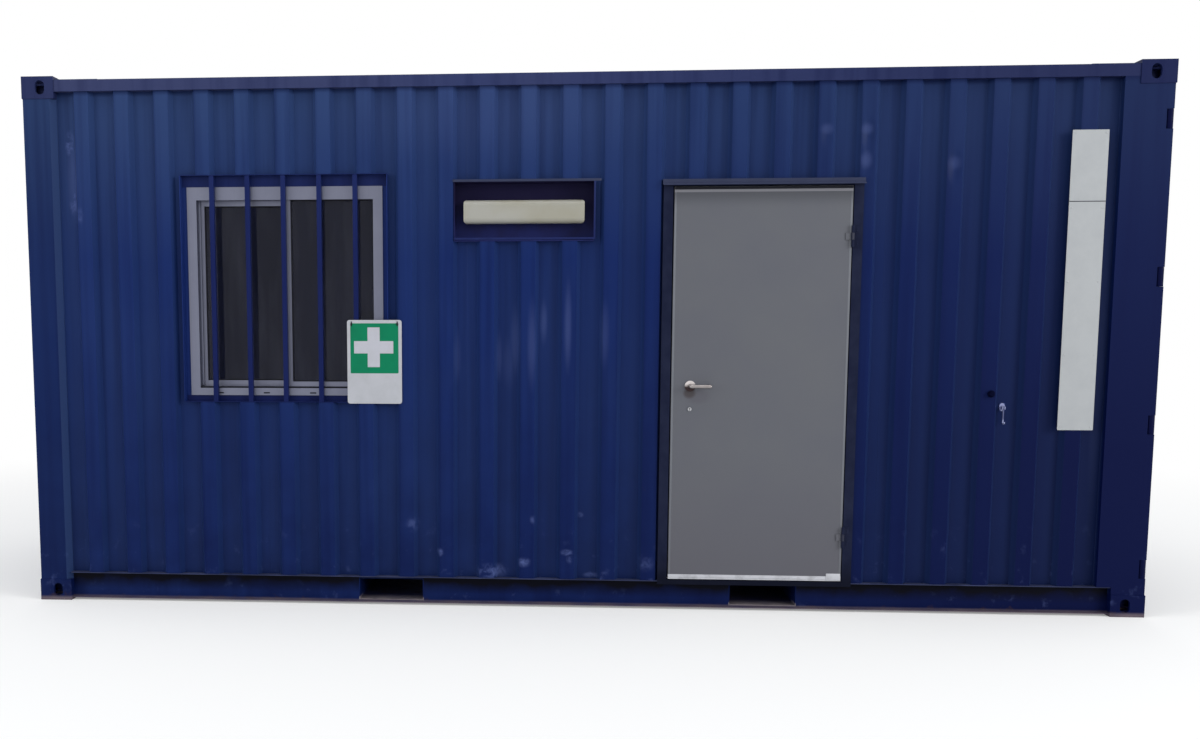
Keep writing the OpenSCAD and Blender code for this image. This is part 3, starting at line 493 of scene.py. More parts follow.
# nearly black and dull, with brown dust on grit of about 40 mm
bitumen, tree, skin, _, grit = mottled("bitumen_coated_steel", bitumen_tone, bitumen_dust, 25, 6)
lumps = add(tree, "Bump", {"Strength": 0.4, "Distance": 0.002, "Height": grit})
feed(tree, skin, {"Roughness": 0.72, "Normal": lumps})
dress(bitumen, "floor_cross_members")

# pale flecks of about 7 mm on grey, half matt, with paths worn dull by feet
vinyl, tree, skin, place = blank("flecked_sheet_vinyl")
fleck = add(tree, "TexVoronoi", {"Vector": place, "Scale": 140})
fleck_share = add(tree, "MapRange", {0: fleck, 1: 0.18, 2: 0.3, 3: 1, 4: 0})
tone = add(tree, "Mix", {0: fleck_share, 6: linear(vinyl_tone), 7: linear(vinyl_fleck)}, data_type="RGBA")
feed(tree, skin, {"Base Color": tone})
tread = add(tree, "TexNoise", {"Vector": place, "Scale": 2.5, "Detail": 4})
dull_with(tree, skin, tread, 0.35, 0.6)
dress(vinyl, "floor_deck")

# The wall sheets: weathering steel pressed into trapezoid ribs, welded edge to edge and sprayed with
# the same enamel. The sheets wave between their ribs and carry most of the wear.
rib_pitch = 0.2215
first_rib = spot(104, 0, 0).x
# knocks and rubs: from the left end, above the ground, half width and half height in mm, then the depth
# of a knock in mm or the strength of a rub. The rubs low down are scuffs; the tall weak ones at mid height
# are painted reflections, the weak ones by the knocks painted highlights, and the two widest painted light
# over the top of the wall and in the valley beside the right post
knocks = (
    (4322, 2540, 40, 85, 6),
    (4533, 2535, 42, 110, 10),
    (4533, 2400, 40, 80, 6),
    (4976, 2370, 42, 110, 9),
)
rubs_and_sheens = (
    (2132, 455, 50, 55, 0.30),
    (2282, 300, 26, 30, 0.45),
    (2566, 196, 115, 60, 0.55),
    (2748, 250, 48, 36, 0.60),
    (2983, 308, 44, 24, 0.70),
    (2984, 306, 34, 18, 0.24),
    (2999, 270, 26, 28, 0.45),
    (2795, 490, 22, 32, 0.32),
    (3057, 515, 26, 22, 0.30),
    (3116, 178, 55, 22, 0.40),
    (3415, 258, 60, 65, 0.25),
    (2693, 1460, 36, 240, 0.15),
    (2785, 1450, 34, 300, 0.16),
    (2848, 1570, 26, 150, 0.19),
    (2978, 1548, 27, 310, 0.20),
    (3176, 1500, 34, 230, 0.12),
    (2606, 1380, 24, 170, 0.12),
    (2660, 1350, 52, 180, 0.08),
    (2377, 1380, 26, 180, 0.10),
    (243, 2540, 34, 85, 0.80),
    (254, 2225, 38, 100, 0.50),
    (294, 2150, 32, 65, 0.32),
    (256, 2350, 44, 280, 0.19),
    (4319, 2570, 50, 40, 0.16),
    (4524, 2568, 44, 40, 0.18),
    (4525, 2410, 42, 60, 0.20),
    (4976, 2390, 46, 50, 0.14),
    (2550, 2740, 1150, 400, 0.08),
    (5772, 1700, 46, 1400, 0.12),
)
wall_enamel = weathered_enamel("blue_enamel_on_ribbed_sheet", wall_blue, wall_faded_and_lit,
                               rust_top=0.0, gloss=0.44, waves=0.10, ribs=0.24,
                               dents=knocks, rubs_and_sheens=rubs_and_sheens, pitch=rib_pitch, first=first_rib)
dress(wall_enamel, "front_wall_left", "front_wall_window_bay", "front_wall_beside_light",
      "front_wall_light_bay", "front_wall_over_door", "front_wall_right")
sheet_enamel = weathered_enamel("blue_enamel_on_unmarked_sheet", wall_blue, wall_faded_and_lit,
                                rust_top=0.0, gloss=0.44, waves=0.10, ribs=0.24)
dress(sheet_enamel, "rear_wall", "closed_end_wall")

# The sheet seams: butt welds ground nearly flush, down the middle of every fifth valley, and the
# runs where the end sheets meet the posts.
valley_d = 48
seam_d = valley_d + 1
first_valley = 214.75
sheet_w = 1107.5
wall_low = 162
wall_high = 2813
window_span = (1130, 2363)
recess_span = (2000, 2316)
end_runs = (178, 5804)
end_run_r = 2.6
seam_r = 2.2
seams = bmesh.new()
for u in end_runs:
    bead(seams, spot(u, valley_d, wall_low), spot(u, valley_d, wall_high), end_run_r)
for k, low, high in ((1, wall_low, window_span[0]), (1, window_span[1], wall_high),
                     (2, wall_low, recess_span[0]), (2, recess_span[1], wall_high), (4, wall_low, wall_high)):
    u = first_valley + k * sheet_w
    bead(seams, spot(u, seam_d, low), spot(u, seam_d, high), seam_r)
for k in range(1, 6):
    u = first_valley + k * sheet_w
    bead(seams, spot(u, width_mm - seam_d, wall_low), spot(u, width_mm - seam_d, wall_high), seam_r)
settle("wall_sheet_seams", seams, sheet_enamel, "shell")

# The roof sheet: weathering steel pressed with shallow ribs across it and sprayed with the walls. The sun
# has chalked the ribs, rain has left silt in the troughs, and knocks from lifting gear have let in rust.
trough_z = 2.877
rib_top_z = 2.888
chalk_tone = "41527f"
silt_tone = "3b3f4e"
roof_rust = "4b2f26"
roof_enamel = weathered_enamel("sun_chalked_blue_enamel_on_roof", wall_blue, wall_faded_and_lit,
                               rust_top=0.0, gloss=0.52, waves=0.10)
tree, skin, place = reopen(roof_enamel)
height = add(tree, "SeparateXYZ", {0: place}).outputs[2]
# chalk lies in clouds of 150 mm and is wiped thin in places
chalk = add(tree, "TexNoise", {"Vector": place, "Scale": 7, "Detail": 6, "Roughness": 0.6})
chalked = add(tree, "MapRange", {0: height, 1: trough_z + 0.006, 2: rib_top_z - 0.001, 3: 0, 4: 0.9})
chalk_share = add(tree, "Math", {0: chalked, 1: chalk}, operation="MULTIPLY", use_clamp=True)
stain(tree, skin, chalk_share, chalk_tone)
# silt dries in the troughs in pools of 100 to 400 mm
pool = add(tree, "TexNoise", {"Vector": place, "Scale": 3.4, "Detail": 7, "Roughness": 0.62})
pool_edge = add(tree, "MapRange", {0: pool, 1: 0.40, 2: 0.64, 3: 0.10, 4: 0.62})
low_down = add(tree, "MapRange", {0: height, 1: rib_top_z - 0.004, 2: trough_z, 3: 0, 4: 1})
silt_share = add(tree, "Math", {0: low_down, 1: pool_edge}, operation="MULTIPLY", use_clamp=True)
stain(tree, skin, silt_share, silt_tone)
# rust freckles of 10 to 40 mm
freckle = add(tree, "TexNoise", {"Vector": place, "Scale": 22, "Detail": 7, "Roughness": 0.66})
freckle_share = add(tree, "MapRange", {0: freckle, 1: 0.66, 2: 0.72, 3: 0, 4: 0.75})
stain(tree, skin, freckle_share, roof_rust)
dress(roof_enamel, "roof_panel")

# The roof corner plates: flat steel doublers welded beside each top casting, where a dropped
# spreader would otherwise pierce the roof.
plate_u = (180, 420)
plate_d = (10, 136)
plate_z = (2877, 2880)


def block(shape, u, d, z, soft=0.0):
    """Adds a block between two distances from the left end, the front face and the ground, eased by soft."""
    low = spot(u[0], d[0], z[0])
    high = spot(u[1], d[1], z[1])
    size = Matrix.Diagonal((*(high - low), 1.0))
    made = bmesh.ops.create_cube(shape, size=1.0, matrix=Matrix.Translation((low + high) / 2) @ size)
    if soft:
        bmesh.ops.bevel(shape, geom=edges_of(made), offset=soft / 1000, segments=2, profile=0.5,
                        affect="EDGES", material=-1)


plates = bmesh.new()
for u in (plate_u, (length_mm - plate_u[1], length_mm - plate_u[0])):
    for d in (plate_d, (width_mm - plate_d[1], width_mm - plate_d[0])):
        block(plates, u, d, plate_z, soft=1)
settle("roof_corner_plates", plates, roof_enamel, "shell")

# The cargo doors at the right-hand end: pressed steel leaves with two channels each, painted with
# the shell, hung on welded lugs and shut by zinc coated lock rods that were painted over with it.
zinc_tone = "4a505a"
gear_paint = "0c1640"
rubber_tone = "0e0f16"
rubber_bloom = "191b26"
# the sheets' enamel, with rust blooms at the foot of the leaves
cargo_enamel = weathered_enamel("blue_enamel_on_cargo_doors", wall_blue, wall_faded_and_lit,
                                rust_top=0.25, gloss=0.46, waves=0.05)
dress(cargo_enamel, "cargo_door_left", "cargo_door_right")

# paint is rubbed off in patches of 30 mm, and rust stains of 45 mm lie over both
zinc, tree, skin, place, _ = mottled("overpainted_zinc_steel", gear_paint, zinc_tone,
                                     34, 6, 0.6, (0.60, 0.68))
marks = add(tree, "TexNoise", {"Vector": place, "Scale": 22, "Detail": 7, "Roughness": 0.65})
mark_share = add(tree, "MapRange", {0: marks, 1: 0.62, 2: 0.72, 3: 0, 4: 0.7})
stain(tree, skin, mark_share, rust_tone)
feed(tree, skin, {"Specular IOR Level": 0.25})
dull_with(tree, skin, marks, 0.42, 0.7)
dress(zinc, "cargo_lock_rods", "cargo_lock_handles", "cargo_rod_brackets", "cargo_hinges")

# dull black, with a paler bloom in patches of about 35 mm
rubber, tree, skin, _, _ = mottled("weathered_black_rubber", rubber_tone, rubber_bloom, 30, 4)
feed(tree, skin, {"Roughness": 0.75, "Specular IOR Level": 0.2})
dress(rubber, "cargo_door_gaskets")

# The cargo door small gear: bolts through the hinge blades, and the folded catches that hold the
# four lock handles shut, all zinc plated.
hinge_levels = (260, 1030, 1800, 2600)
bolt_d = (128, 208)
bolt_rise = 18
bolt_r = 8
bolt_h = 6
leaf_face = 6014
blade_face = 6046
handle_face = 6050
rod_from_side = (427, 900)
handle_low = (1070, 1196)
catch_from_rod = (225, 262)
catch_lower = (-16, -4)
catch_upper = (38, 50)
keeper_u = (6052, 6055.5)
keeper_in = 4
keeper_rise = (-14, 48)


def stud(shape, centre, radius, rise, along):
    """Adds a domed bolt or rivet head that stands on a face and points along a direction."""
    turn = Vector(along).to_track_quat("Z", "Y").to_matrix().to_4x4()
    size = Matrix.Diagonal((radius / 1000, radius / 1000, rise / 1000, 1.0))
    bmesh.ops.create_uvsphere(shape, u_segments=14, v_segments=8, radius=1.0,
                              matrix=Matrix.Translation(centre) @ turn @ size)


gear = bmesh.new()
for z in hinge_levels:
    for d in bolt_d:
        for rise in (-bolt_rise, bolt_rise):
            stud(gear, spot(blade_face, d, z + rise), bolt_r, bolt_h, (1, 0, 0))
            stud(gear, spot(blade_face, width_mm - d, z + rise), bolt_r, bolt_h, (1, 0, 0))
for d, z in zip(rod_from_side, handle_low):
    near_d = d + catch_from_rod[0]
    far_d = d + catch_from_rod[1]
    for catch in ((near_d, far_d), (width_mm - far_d, width_mm - near_d)):
        for lowest, highest in (catch_lower, catch_upper):
            block(gear, (leaf_face, handle_face), catch, (z + lowest, z + highest), soft=2)
        keeper_d = (catch[0] + keeper_in, catch[1] - keeper_in)
        block(gear, keeper_u, keeper_d, (z + keeper_rise[0], z + keeper_rise[1]), soft=1)
settle("cargo_bolts_and_catches", gear, zinc, "shell")

# The hinge sleeves: greased steel bushes pressed over the hinge pins in the notches of the end posts,
# near black as painted shade of the notches.
sleeve_shade_tone = "03082c"
sleeve_shade_dust = "080e38"
sleeve_u = 6039
sleeve_d = 20
sleeve_r = 18.5
sleeve_half = 49
sleeve_ease = 2
# blue black as painted shade and half wet, with dust on the grease in patches of about 25 mm
greasy, tree, skin, _, film = mottled("greasy_steel_in_painted_shade", sleeve_shade_tone, sleeve_shade_dust, 40, 4)
feed(tree, skin, {"Specular IOR Level": 0.06})
dull_with(tree, skin, film, 0.5, 0.75)
sleeves = bmesh.new()
for z in hinge_levels:
    for d in (sleeve_d, width_mm - sleeve_d):
        made = bmesh.ops.create_cone(sleeves, cap_ends=True, segments=28, radius1=sleeve_r / 1000,
                                     radius2=sleeve_r / 1000, depth=2 * sleeve_half / 1000,
                                     matrix=Matrix.Translation(spot(sleeve_u, d, z)))
        rims = [e for e in edges_of(made) if abs(e.verts[0].co.z - e.verts[1].co.z) < 0.001]
        bmesh.ops.bevel(sleeves, geom=rims, offset=sleeve_ease / 1000, segments=2, profile=0.5,
                        affect="EDGES", material=-1)
settle("hinge_sleeves", sleeves, greasy, "shell")

# The wall and ceiling lining: insulated board faced with white vinyl, fixed to studs inside the
# sheets, with the joints covered by strips and a skirting at the floor.
lining_tone = "c9c8c2"
lining_mark = "b3b1aa"
room_u = (110, 5914)
doorway_u = (3478, 4517)
front_d = 119
back_d = width_mm - front_d
floor_z = 178
ceiling_z = 2755
skirting_h = 90
skirting_t = 10
coving = 20
board_w = 1200
strip_half = 20
strip_t = 4
# a soft white, with hand marks of about 300 mm on an emboss of 2.5 mm
lining, tree, skin, place, _ = mottled("white_vinyl_faced_board", lining_tone, lining_mark, 3, 5)
emboss = add(tree, "TexNoise", {"Vector": place, "Scale": 400, "Detail": 1})
press = add(tree, "Bump", {"Strength": 0.15, "Distance": 0.0005, "Height": emboss})
feed(tree, skin, {"Roughness": 0.48, "Normal": press})
dress(lining, "front_lining_tall", "front_lining_short", "rear_lining", "end_linings", "ceiling_lining")

strips = bmesh.new()
skirting_z = (floor_z, floor_z + skirting_h)
block(strips, room_u, (back_d - skirting_t, back_d), skirting_z, soft=3)
for u in ((room_u[0], doorway_u[0]), (doorway_u[1], room_u[1])):
    block(strips, u, (front_d, front_d + skirting_t), skirting_z, soft=3)
for k in range(1, 5):
    joint_u = room_u[0] + k * board_w
    u = (joint_u - strip_half, joint_u + strip_half)
    block(strips, u, (back_d - strip_t, back_d), (skirting_z[1], ceiling_z), soft=1.5)
    block(strips, u, (front_d + coving, back_d - coving), (ceiling_z - strip_t, ceiling_z), soft=1.5)
for d in ((back_d - coving, back_d), (front_d, front_d + coving)):
    block(strips, room_u, d, (ceiling_z - coving, ceiling_z), soft=4)
settle("lining_strips_and_skirting", strips, lining, "shell")

# The window reveal and bars: folded plate let into the wall and five square steel bars welded
# into it, brush painted in the wall's blue.
trim_blue = "141e50"
trim_faded = "222f60"
reveal_lit_blue = "1b2f6c"
reveal_lit_faded = "2b3c74"
bar_mid = 1431
bar_pitch = 197
bar_half = 12.5
bar_d = (12, 37)
reveal_z = (1133, 2360)
dab_r = 2.6
# brushed enamel looks darker than the sheets, and the side reveals are painted paler as painted light against
# the shade in the reveal
trim_enamel = weathered_enamel("brushed_blue_enamel_on_trim", trim_blue, trim_faded,
                               rust_top=0.0, gloss=0.42, waves=0.03)
dress(trim_enamel, "window_head_and_sill", "window_bars")
reveal_enamel = weathered_enamel("blue_enamel_with_painted_light_on_reveals", reveal_lit_blue, reveal_lit_faded,
                                 rust_top=0.0, gloss=0.46, waves=0.02)
dress(reveal_enamel, "window_side_reveals")
dabs = bmesh.new()
for k in range(-2, 3):
    u = bar_mid + k * bar_pitch
    for z in reveal_z:
        bead(dabs, spot(u - bar_half, bar_d[0], z), spot(u + bar_half, bar_d[0], z), dab_r)
        for edge in (u - bar_half, u + bar_half):
            bead(dabs, spot(edge, bar_d[0], z), spot(edge, bar_d[1], z), dab_r)
settle("window_bar_welds", dabs, trim_enamel, "shell")

# The window: a two-light slider of extruded aluminium, anodised natural, with the left light
# sliding behind the fixed right one, glazed with grey float glass in black wedge gaskets.
anodised_tone = "777a8b"
anodised_dull = "6a6d7f"
pane_tint = "646a90"
pane_dust = "8a8eac"
near_pane = ((1462, 1919), (1242, 2231), 62)
far_pane = ((976, 1431), (1247, 2202), 89)
gasket_w = 7
gasket_t = 3
liner_u = (942, 957)
liner_d = (70, 79)
liner_z = (1216, 2240)
track_u = (943, 1919)
track_d = (46, 52)
track_z = (1206, 1215)
weep_u = (1040, 1300, 1560, 1820)
weep_w = 34
weep_d = (39.6, 42)
weep_z = (1176, 1183)
# a grey satin, with oxide in patches of 110 mm and drawing lines of 5 mm along the bars
aluminium, tree, skin, place, _ = mottled("natural_anodised_aluminium", anodised_tone, anodised_dull, 9, 6)
draw = add(tree, "Mapping", {0: place, 3: (220.0, 220.0, 6.0)})
lines = add(tree, "TexNoise", {"Vector": draw, "Scale": 1, "Detail": 3})
feed(tree, skin, {"Metallic": 0.7})
dull_with(tree, skin, lines, 0.38, 0.52)
dress(aluminium, "window_frame", "sliding_sash")

track_liner = bmesh.new()
block(track_liner, liner_u, liner_d, liner_z, soft=1)
settle("window_track_liner", track_liner, aluminium, "shell")

glass, tree, skin, place = blank("grey_float_glass")
# a blue grey tint, with dust dried on the panes in runs about 120 mm wide
hung = add(tree, "Mapping", {0: place, 3: (8.0, 8.0, 1.2)})
film = add(tree, "TexNoise", {"Vector": hung, "Scale": 1, "Detail": 5})
film_share = add(tree, "MapRange", {0: film, 1: 0.42, 2: 0.68, 3: 0, 4: 1})
tone = add(tree, "Mix", {0: film_share, 6: linear(pane_tint), 7: linear(pane_dust)}, data_type="RGBA")
film_rough = add(tree, "MapRange", {0: film, 1: 0.45, 2: 0.75, 3: 0, 4: 0.12})
feed(tree, skin, {"Base Color": tone, "Roughness": film_rough, "Transmission Weight": 0.95, "IOR": 1.25})
dress(glass, "window_glass")

wedges = bmesh.new()
for across, tall, face in (near_pane, far_pane):
    depth = (face - gasket_t, face)
    sides = (tall[0] + gasket_w, tall[1] - gasket_w)
    block(wedges, across, depth, (tall[0], sides[0]), soft=1)
    block(wedges, across, depth, (sides[1], tall[1]), soft=1)
    block(wedges, (across[0], across[0] + gasket_w), depth, sides, soft=1)
    block(wedges, (across[1] - gasket_w, across[1]), depth, sides, soft=1)
# a black strip along the sill track: painted shade for the dark gap between the sill and the sashes
block(wedges, track_u, track_d, track_z, soft=1)
for u in weep_u:
    block(wedges, (u, u + weep_w), weep_d, weep_z, soft=0.8)
settle("window_gaskets_and_weeps", wedges, rubber, "shell")

# The outside light: a batten in a recess of folded plate, lipped all round and painted dark inside as painted
# shade, with a white moulded base and a domed opal cover that the sun has turned cream.
painted_recess_shade = "1b1838"
painted_recess_foot_light = "252c62"
slate_lit_tone = "2c3149"
slate_pale = "3b415a"
lip_lit_blue = "1f2858"
lip_lit_faded = "333d66"
base_tone = "a9aaa6"
base_dust = "8f8f88"
opal_tone = "a4a39b"
opal_yellowed = "9b9888"
lip_d = (6.5, 9.5)
top_lip_u = (2356, 3150)
top_lip_z = (2314, 2327)
low_lip_u = (2362, 3113)
low_lip_z = (2008, 2019)
side_lip_u = (3111, 3120)
recess, tree, skin, place = blank("painted_shade_in_recess")
# painted light pales the foot of the recess in patches of 100 mm, under the painted shade above
height = add(tree, "SeparateXYZ", {0: place}).outputs[2]
recess_patches = add(tree, "TexNoise", {"Vector": place, "Scale": 10, "Detail": 5})
foot = add(tree, "MapRange", {0: height, 1: 2.22, 2: 2.01, 3: 0, 4: 1.8})
foot_light_share = add(tree, "Math", {0: foot, 1: recess_patches}, operation="MULTIPLY", use_clamp=True)
tone = add(tree, "Mix", {0: foot_light_share, 6: linear(painted_recess_shade), 7: linear(painted_recess_foot_light)}, data_type="RGBA")
feed(tree, skin, {"Base Color": tone, "Specular IOR Level": 0.08})
dull_with(tree, skin, recess_patches, 0.48, 0.66)
dress(recess, "light_recess")

# a blue grey paler than the wall, as a painted highlight on the lip and the flashing, with chalk in patches
# of 110 mm
slate, tree, skin, _, chalk = mottled("chalked_slate_enamel_with_painted_highlight", slate_lit_tone, slate_pale, 9, 6, 0.6)
feed(tree, skin, {"Specular IOR Level": 0.12})
dull_with(tree, skin, chalk, 0.5, 0.68)
lip = bmesh.new()
block(lip, top_lip_u, lip_d, top_lip_z, soft=1)
settle("recess_top_lip", lip, slate, "shell")
lips = bmesh.new()
block(lips, low_lip_u, lip_d, low_lip_z, soft=1)
block(lips, side_lip_u, lip_d, (low_lip_z[0], top_lip_z[0]), soft=1)
# the lower lips are sprayed like the sheets, a little paler as a painted highlight
lip_enamel = weathered_enamel("blue_enamel_with_painted_highlight_on_recess_lips", lip_lit_blue, lip_lit_faded,
                              rust_top=0.0, gloss=0.46, waves=0.02)
settle("recess_lower_lips", lips, lip_enamel, "shell")

# dust in patches of 70 mm on the base, and yellowing in patches of 250 mm on the cover
base, tree, skin, _, _ = mottled("white_moulded_polycarbonate", base_tone, base_dust, 14, 5)
feed(tree, skin, {"Roughness": 0.5})
dress(base, "light_base")
opal, tree, skin, _, _ = mottled("sun_aged_opal_acrylic", opal_tone, opal_yellowed, 4, 4, 0.5, (0.35, 0.7))
feed(tree, skin, {"Subsurface Weight": 0.25, "Subsurface Radius": (0.02, 0.018, 0.014), "Roughness": 0.34})
dress(opal, "light_diffuser")

# The door frame: a folded steel surround welded into the wall and painted dark grey, with two
# butt hinges on its right-hand jamb and a plain threshold.
frame_tone = "181d33"
frame_rub = "23283e"
frame_foot = "090b16"
hinge_z = (412, 2015)
hinge_u = 4464.5
knuckle_d = -7
knuckle_r = 10
pin_rise = 56
pin_r = 6.5
pin_h = 4
screw_u = hinge_u + 22
screw_d = -2
screw_rise = (-40, -28, 28, 40)
screw_r = 4
screw_h = 1.6
# rubbed in patches of 80 mm, and boots have left the foot of the frame nearly black
dark_enamel, tree, skin, place, rub = mottled("dark_grey_enamel_on_folded_steel", frame_tone, frame_rub,
                                              12, 6, 0.6, (0.4, 0.75))
height = add(tree, "SeparateXYZ", {0: place}).outputs[2]
trodden = add(tree, "MapRange", {0: height, 1: 0.32, 2: 0.17, 3: 0, 4: 0.75})
stain(tree, skin, trodden, frame_foot)
feed(tree, skin, {"Specular IOR Level": 0.05})
dull_with(tree, skin, rub, 0.42, 0.6)
dress(dark_enamel, "door_jambs", "door_head", "door_threshold", "frame_hinge_leaves")
# the flashing takes the same slate enamel, paler than the wall as a painted highlight on its upward face
dress(slate, "drip_flashing")

pins = bmesh.new()
for z in hinge_z:
    for end in (-pin_rise, pin_rise):
        stud(pins, spot(hinge_u, knuckle_d, z + end), pin_r, pin_h, (0, 0, 1))
    for rise in screw_rise:
        stud(pins, spot(screw_u, screw_d, z + rise), screw_r, screw_h, (0, -1, 0))
settle("hinge_pins_and_screws", pins, dark_enamel, "shell")

# The door leaf: two steel skins on a foam core, powder coated mid grey, with folded edges, a white
# bottom seal and a bright cap along its top.
leaf_tone = "5a5c64"
leaf_smear = "5d5f65"
leaf_low = "58575f"
painted_drip_shadow = "3a3c43"
fold_tone = "6b6e75"
fold_smear = "70737a"
fold_low = "65666d"
painted_rose_shadow = "3b3436"
painted_lever_shadow = "4c4852"
cap_tone = "c2c3c9"
cap_scuff = "a4a5aa"
painted_cap_shadow = "73737a"
leaf_z = (198, 2250)
left_fold_u = (3535.5, 3547)
right_fold_u = (4450, 4461.5)
fold_d = (3, 6)
strip_u = (3536, 4461)
strip_d = (2, 5)
strip_z = (2264, 2277)
end_block_u = (4384, 4460)
end_block_d = (1, 6)
end_block_z = (176, 213)
seal_u = (3537, 4382)
seal_d = (2, 6)
seal_z = (180, 190)


def powder_coat(name, tone_code, smear_code, low_code):
    """Powder coat on sheet steel: faint hand smears, a duller foot, painted shadow under the drip edge, and
    painted shadow under the lever and its rose.
    """
    # smears are about 300 mm across
    material, tree, skin, place, smear = mottled(name, tone_code, smear_code, 3, 6, 0.6, (0.35, 0.7))
    height = add(tree, "SeparateXYZ", {0: place}).outputs[2]
    kick = add(tree, "MapRange", {0: height, 1: 0.9, 2: 0.2, 3: 0, 4: 0.7})
    stain(tree, skin, kick, low_code)
    # painted shadow of the drip edge darkens the top of the leaf
    drip_shadow_share = add(tree, "MapRange", {0: height, 1: 2.16, 2: 2.25, 3: 0, 4: 0.6},
                     interpolation_type="SMOOTHSTEP")
    stain(tree, skin, drip_shadow_share, painted_drip_shadow)
    # painted shadow under the rose, and a fainter painted shadow under the lever
    for u, z, half_w, half_h, strength, shadow_code in (
            (3675, 1170, 85, 50, 0.35, painted_lever_shadow),
            (3632, 1187, 42, 34, 0.80, painted_rose_shadow)):
        apart = ellipse(tree, place, spot(u, 0, z), half_w, half_h)
        film = add(tree, "MapRange", {0: apart, 1: 0.45, 2: 1, 3: strength, 4: 0},
                   interpolation_type="SMOOTHSTEP")
        stain(tree, skin, film, shadow_code)
    # the coat has an orange peel of 3 mm
    orange = add(tree, "TexNoise", {"Vector": place, "Scale": 300, "Detail": 2})
    coat = add(tree, "Bump", {"Strength": 0.1, "Distance": 0.0006, "Height": orange})
    feed(tree, skin, {"Specular IOR Level": 0.35, "Normal": coat})
    dull_with(tree, skin, smear, 0.40, 0.52)
    return material


dress(powder_coat("grey_powder_coated_steel", leaf_tone, leaf_smear, leaf_low), "door_leaf")

# the hinge leaf was sprayed with the door, its knuckle with the frame
hinge_coat = powder_coat("grey_and_dark_coat_on_hinges", leaf_tone, leaf_smear, leaf_low)
tree, skin, place = reopen(hinge_coat)
across = add(tree, "SeparateXYZ", {0: place}).outputs[0]
knuckle_edge = spot(hinge_u - knuckle_r, 0, 0).x
knuckle = add(tree, "MapRange", {0: across, 1: knuckle_edge - 0.001, 2: knuckle_edge, 3: 0, 4: 1})
stain(tree, skin, knuckle, frame_tone)
dress(hinge_coat, "door_hinge_leaves")

# scuffs of 50 mm; the upper cap is darker as painted shadow of the drip edge
edge_trim, tree, skin, place, _ = mottled("white_painted_edge_trim", cap_tone, cap_scuff,
                                          20, 5, 0.5, (0.5, 0.75))
height = add(tree, "SeparateXYZ", {0: place}).outputs[2]
upper_cap_shadow = add(tree, "MapRange", {0: height, 1: 1, 2: 2, 3: 0, 4: 1})
stain(tree, skin, upper_cap_shadow, painted_cap_shadow)
feed(tree, skin, {"Roughness": 0.45})
dress(edge_trim, "door_edge_caps")

folds = bmesh.new()
for u in (left_fold_u, right_fold_u):
    block(folds, u, fold_d, leaf_z, soft=0.6)
# hands have rubbed the folds paler than the leaf
fold_coat = powder_coat("rubbed_powder_coat_on_folds", fold_tone, fold_smear, fold_low)
settle("leaf_edge_folds", folds, fold_coat, "door")
# a black strip over the top of the upper cap: painted shadow of the drip edge
strip = bmesh.new()
block(strip, strip_u, strip_d, strip_z, soft=1)
settle("top_weather_strip", strip, rubber, "door")
seal = bmesh.new()
block(seal, end_block_u, end_block_d, end_block_z, soft=2)
block(seal, seal_u, seal_d, seal_z, soft=1.5)
settle("bottom_seal_carrier", seal, edge_trim, "door")

# The lever and lock: satin stainless steel on round roses, with a separate cylinder below the
# spindle that turns a deadlock.
stainless_tone = "aba5a4"
stainless_touched = "868080"
painted_rose_highlight = "ece6e5"
painted_rose_highlight_touched = "c9c2c1"
painted_rose_reflection = "3a3031"
barrel_tone = "b2b4b8"
spindle_z = 1.226
key_u = 3635
key_d = -2
slot_half = 1.4
slot_d = (-2.3, -1)
slot_z = (1094, 1104)
key_hole_z = 1105
key_hole_r = 3.2
key_hole_h = 0.6


def satin_stainless(name, tone_code, touched_code, dark_reflection):
    """Brushed stainless steel: hairlines along the bar, finger marks, and a painted reflection of the ground
    low on a rose.
    """
    # finger marks of 25 mm, and hairlines of about a millimetre
    material, tree, skin, place, _ = mottled(name, tone_code, touched_code, 40, 3)
    hair = add(tree, "Mapping", {0: place, 3: (40.0, 900.0, 900.0)})
    hairline = add(tree, "TexNoise", {"Vector": hair, "Scale": 1, "Detail": 2})
    height = add(tree, "SeparateXYZ", {0: place}).outputs[2]
    for starts, ends, most, mark_code in (
            (0.012, -0.006, dark_reflection, painted_rose_reflection),
            (-0.060, -0.080, 1.0, barrel_tone)):
        share = add(tree, "MapRange",
                    {0: height, 1: spindle_z + starts, 2: spindle_z + ends, 3: 0, 4: most})
        stain(tree, skin, share, mark_code)
    feed(tree, skin, {"Metallic": 1})
    dull_with(tree, skin, hairline, 0.24, 0.42)
    return material


dress(satin_stainless("satin_stainless_steel", stainless_tone, stainless_touched, 0.0), "lever_handle")
# the rose is paler than the lever as a painted highlight, and dark below its middle as a painted reflection
dress(satin_stainless("stainless_steel_with_painted_highlight_and_reflection", painted_rose_highlight, painted_rose_highlight_touched, 1.0), "lock_furniture")

keyway = bmesh.new()
block(keyway, (key_u - slot_half, key_u + slot_half), slot_d, slot_z)
stud(keyway, spot(key_u, key_d, key_hole_z), key_hole_r, key_hole_h, (0, -1, 0))
settle("keyway", keyway, rubber, "door")

# The first aid sign: a white plastic board tied to the window bar, with a green vinyl field and a
# white cross cut from reflective film. The strip under the field is plain board.
board_tone = "b8bac0"
board_worn = "abadb2"
field_tone = "007a54"
field_worn = "04704e"
cross_tone = "bcbdc6"
cross_worn = "b2b5ba"
field_u = (1794, 2058)
field_d = (5.4, 6.5)
field_z = (1290, 1562)
field_corner = 6
cross_u = 1922
cross_d = (5, 5.8)
cross_z = 1432
arm_half = 33.5
arm_reach = 108


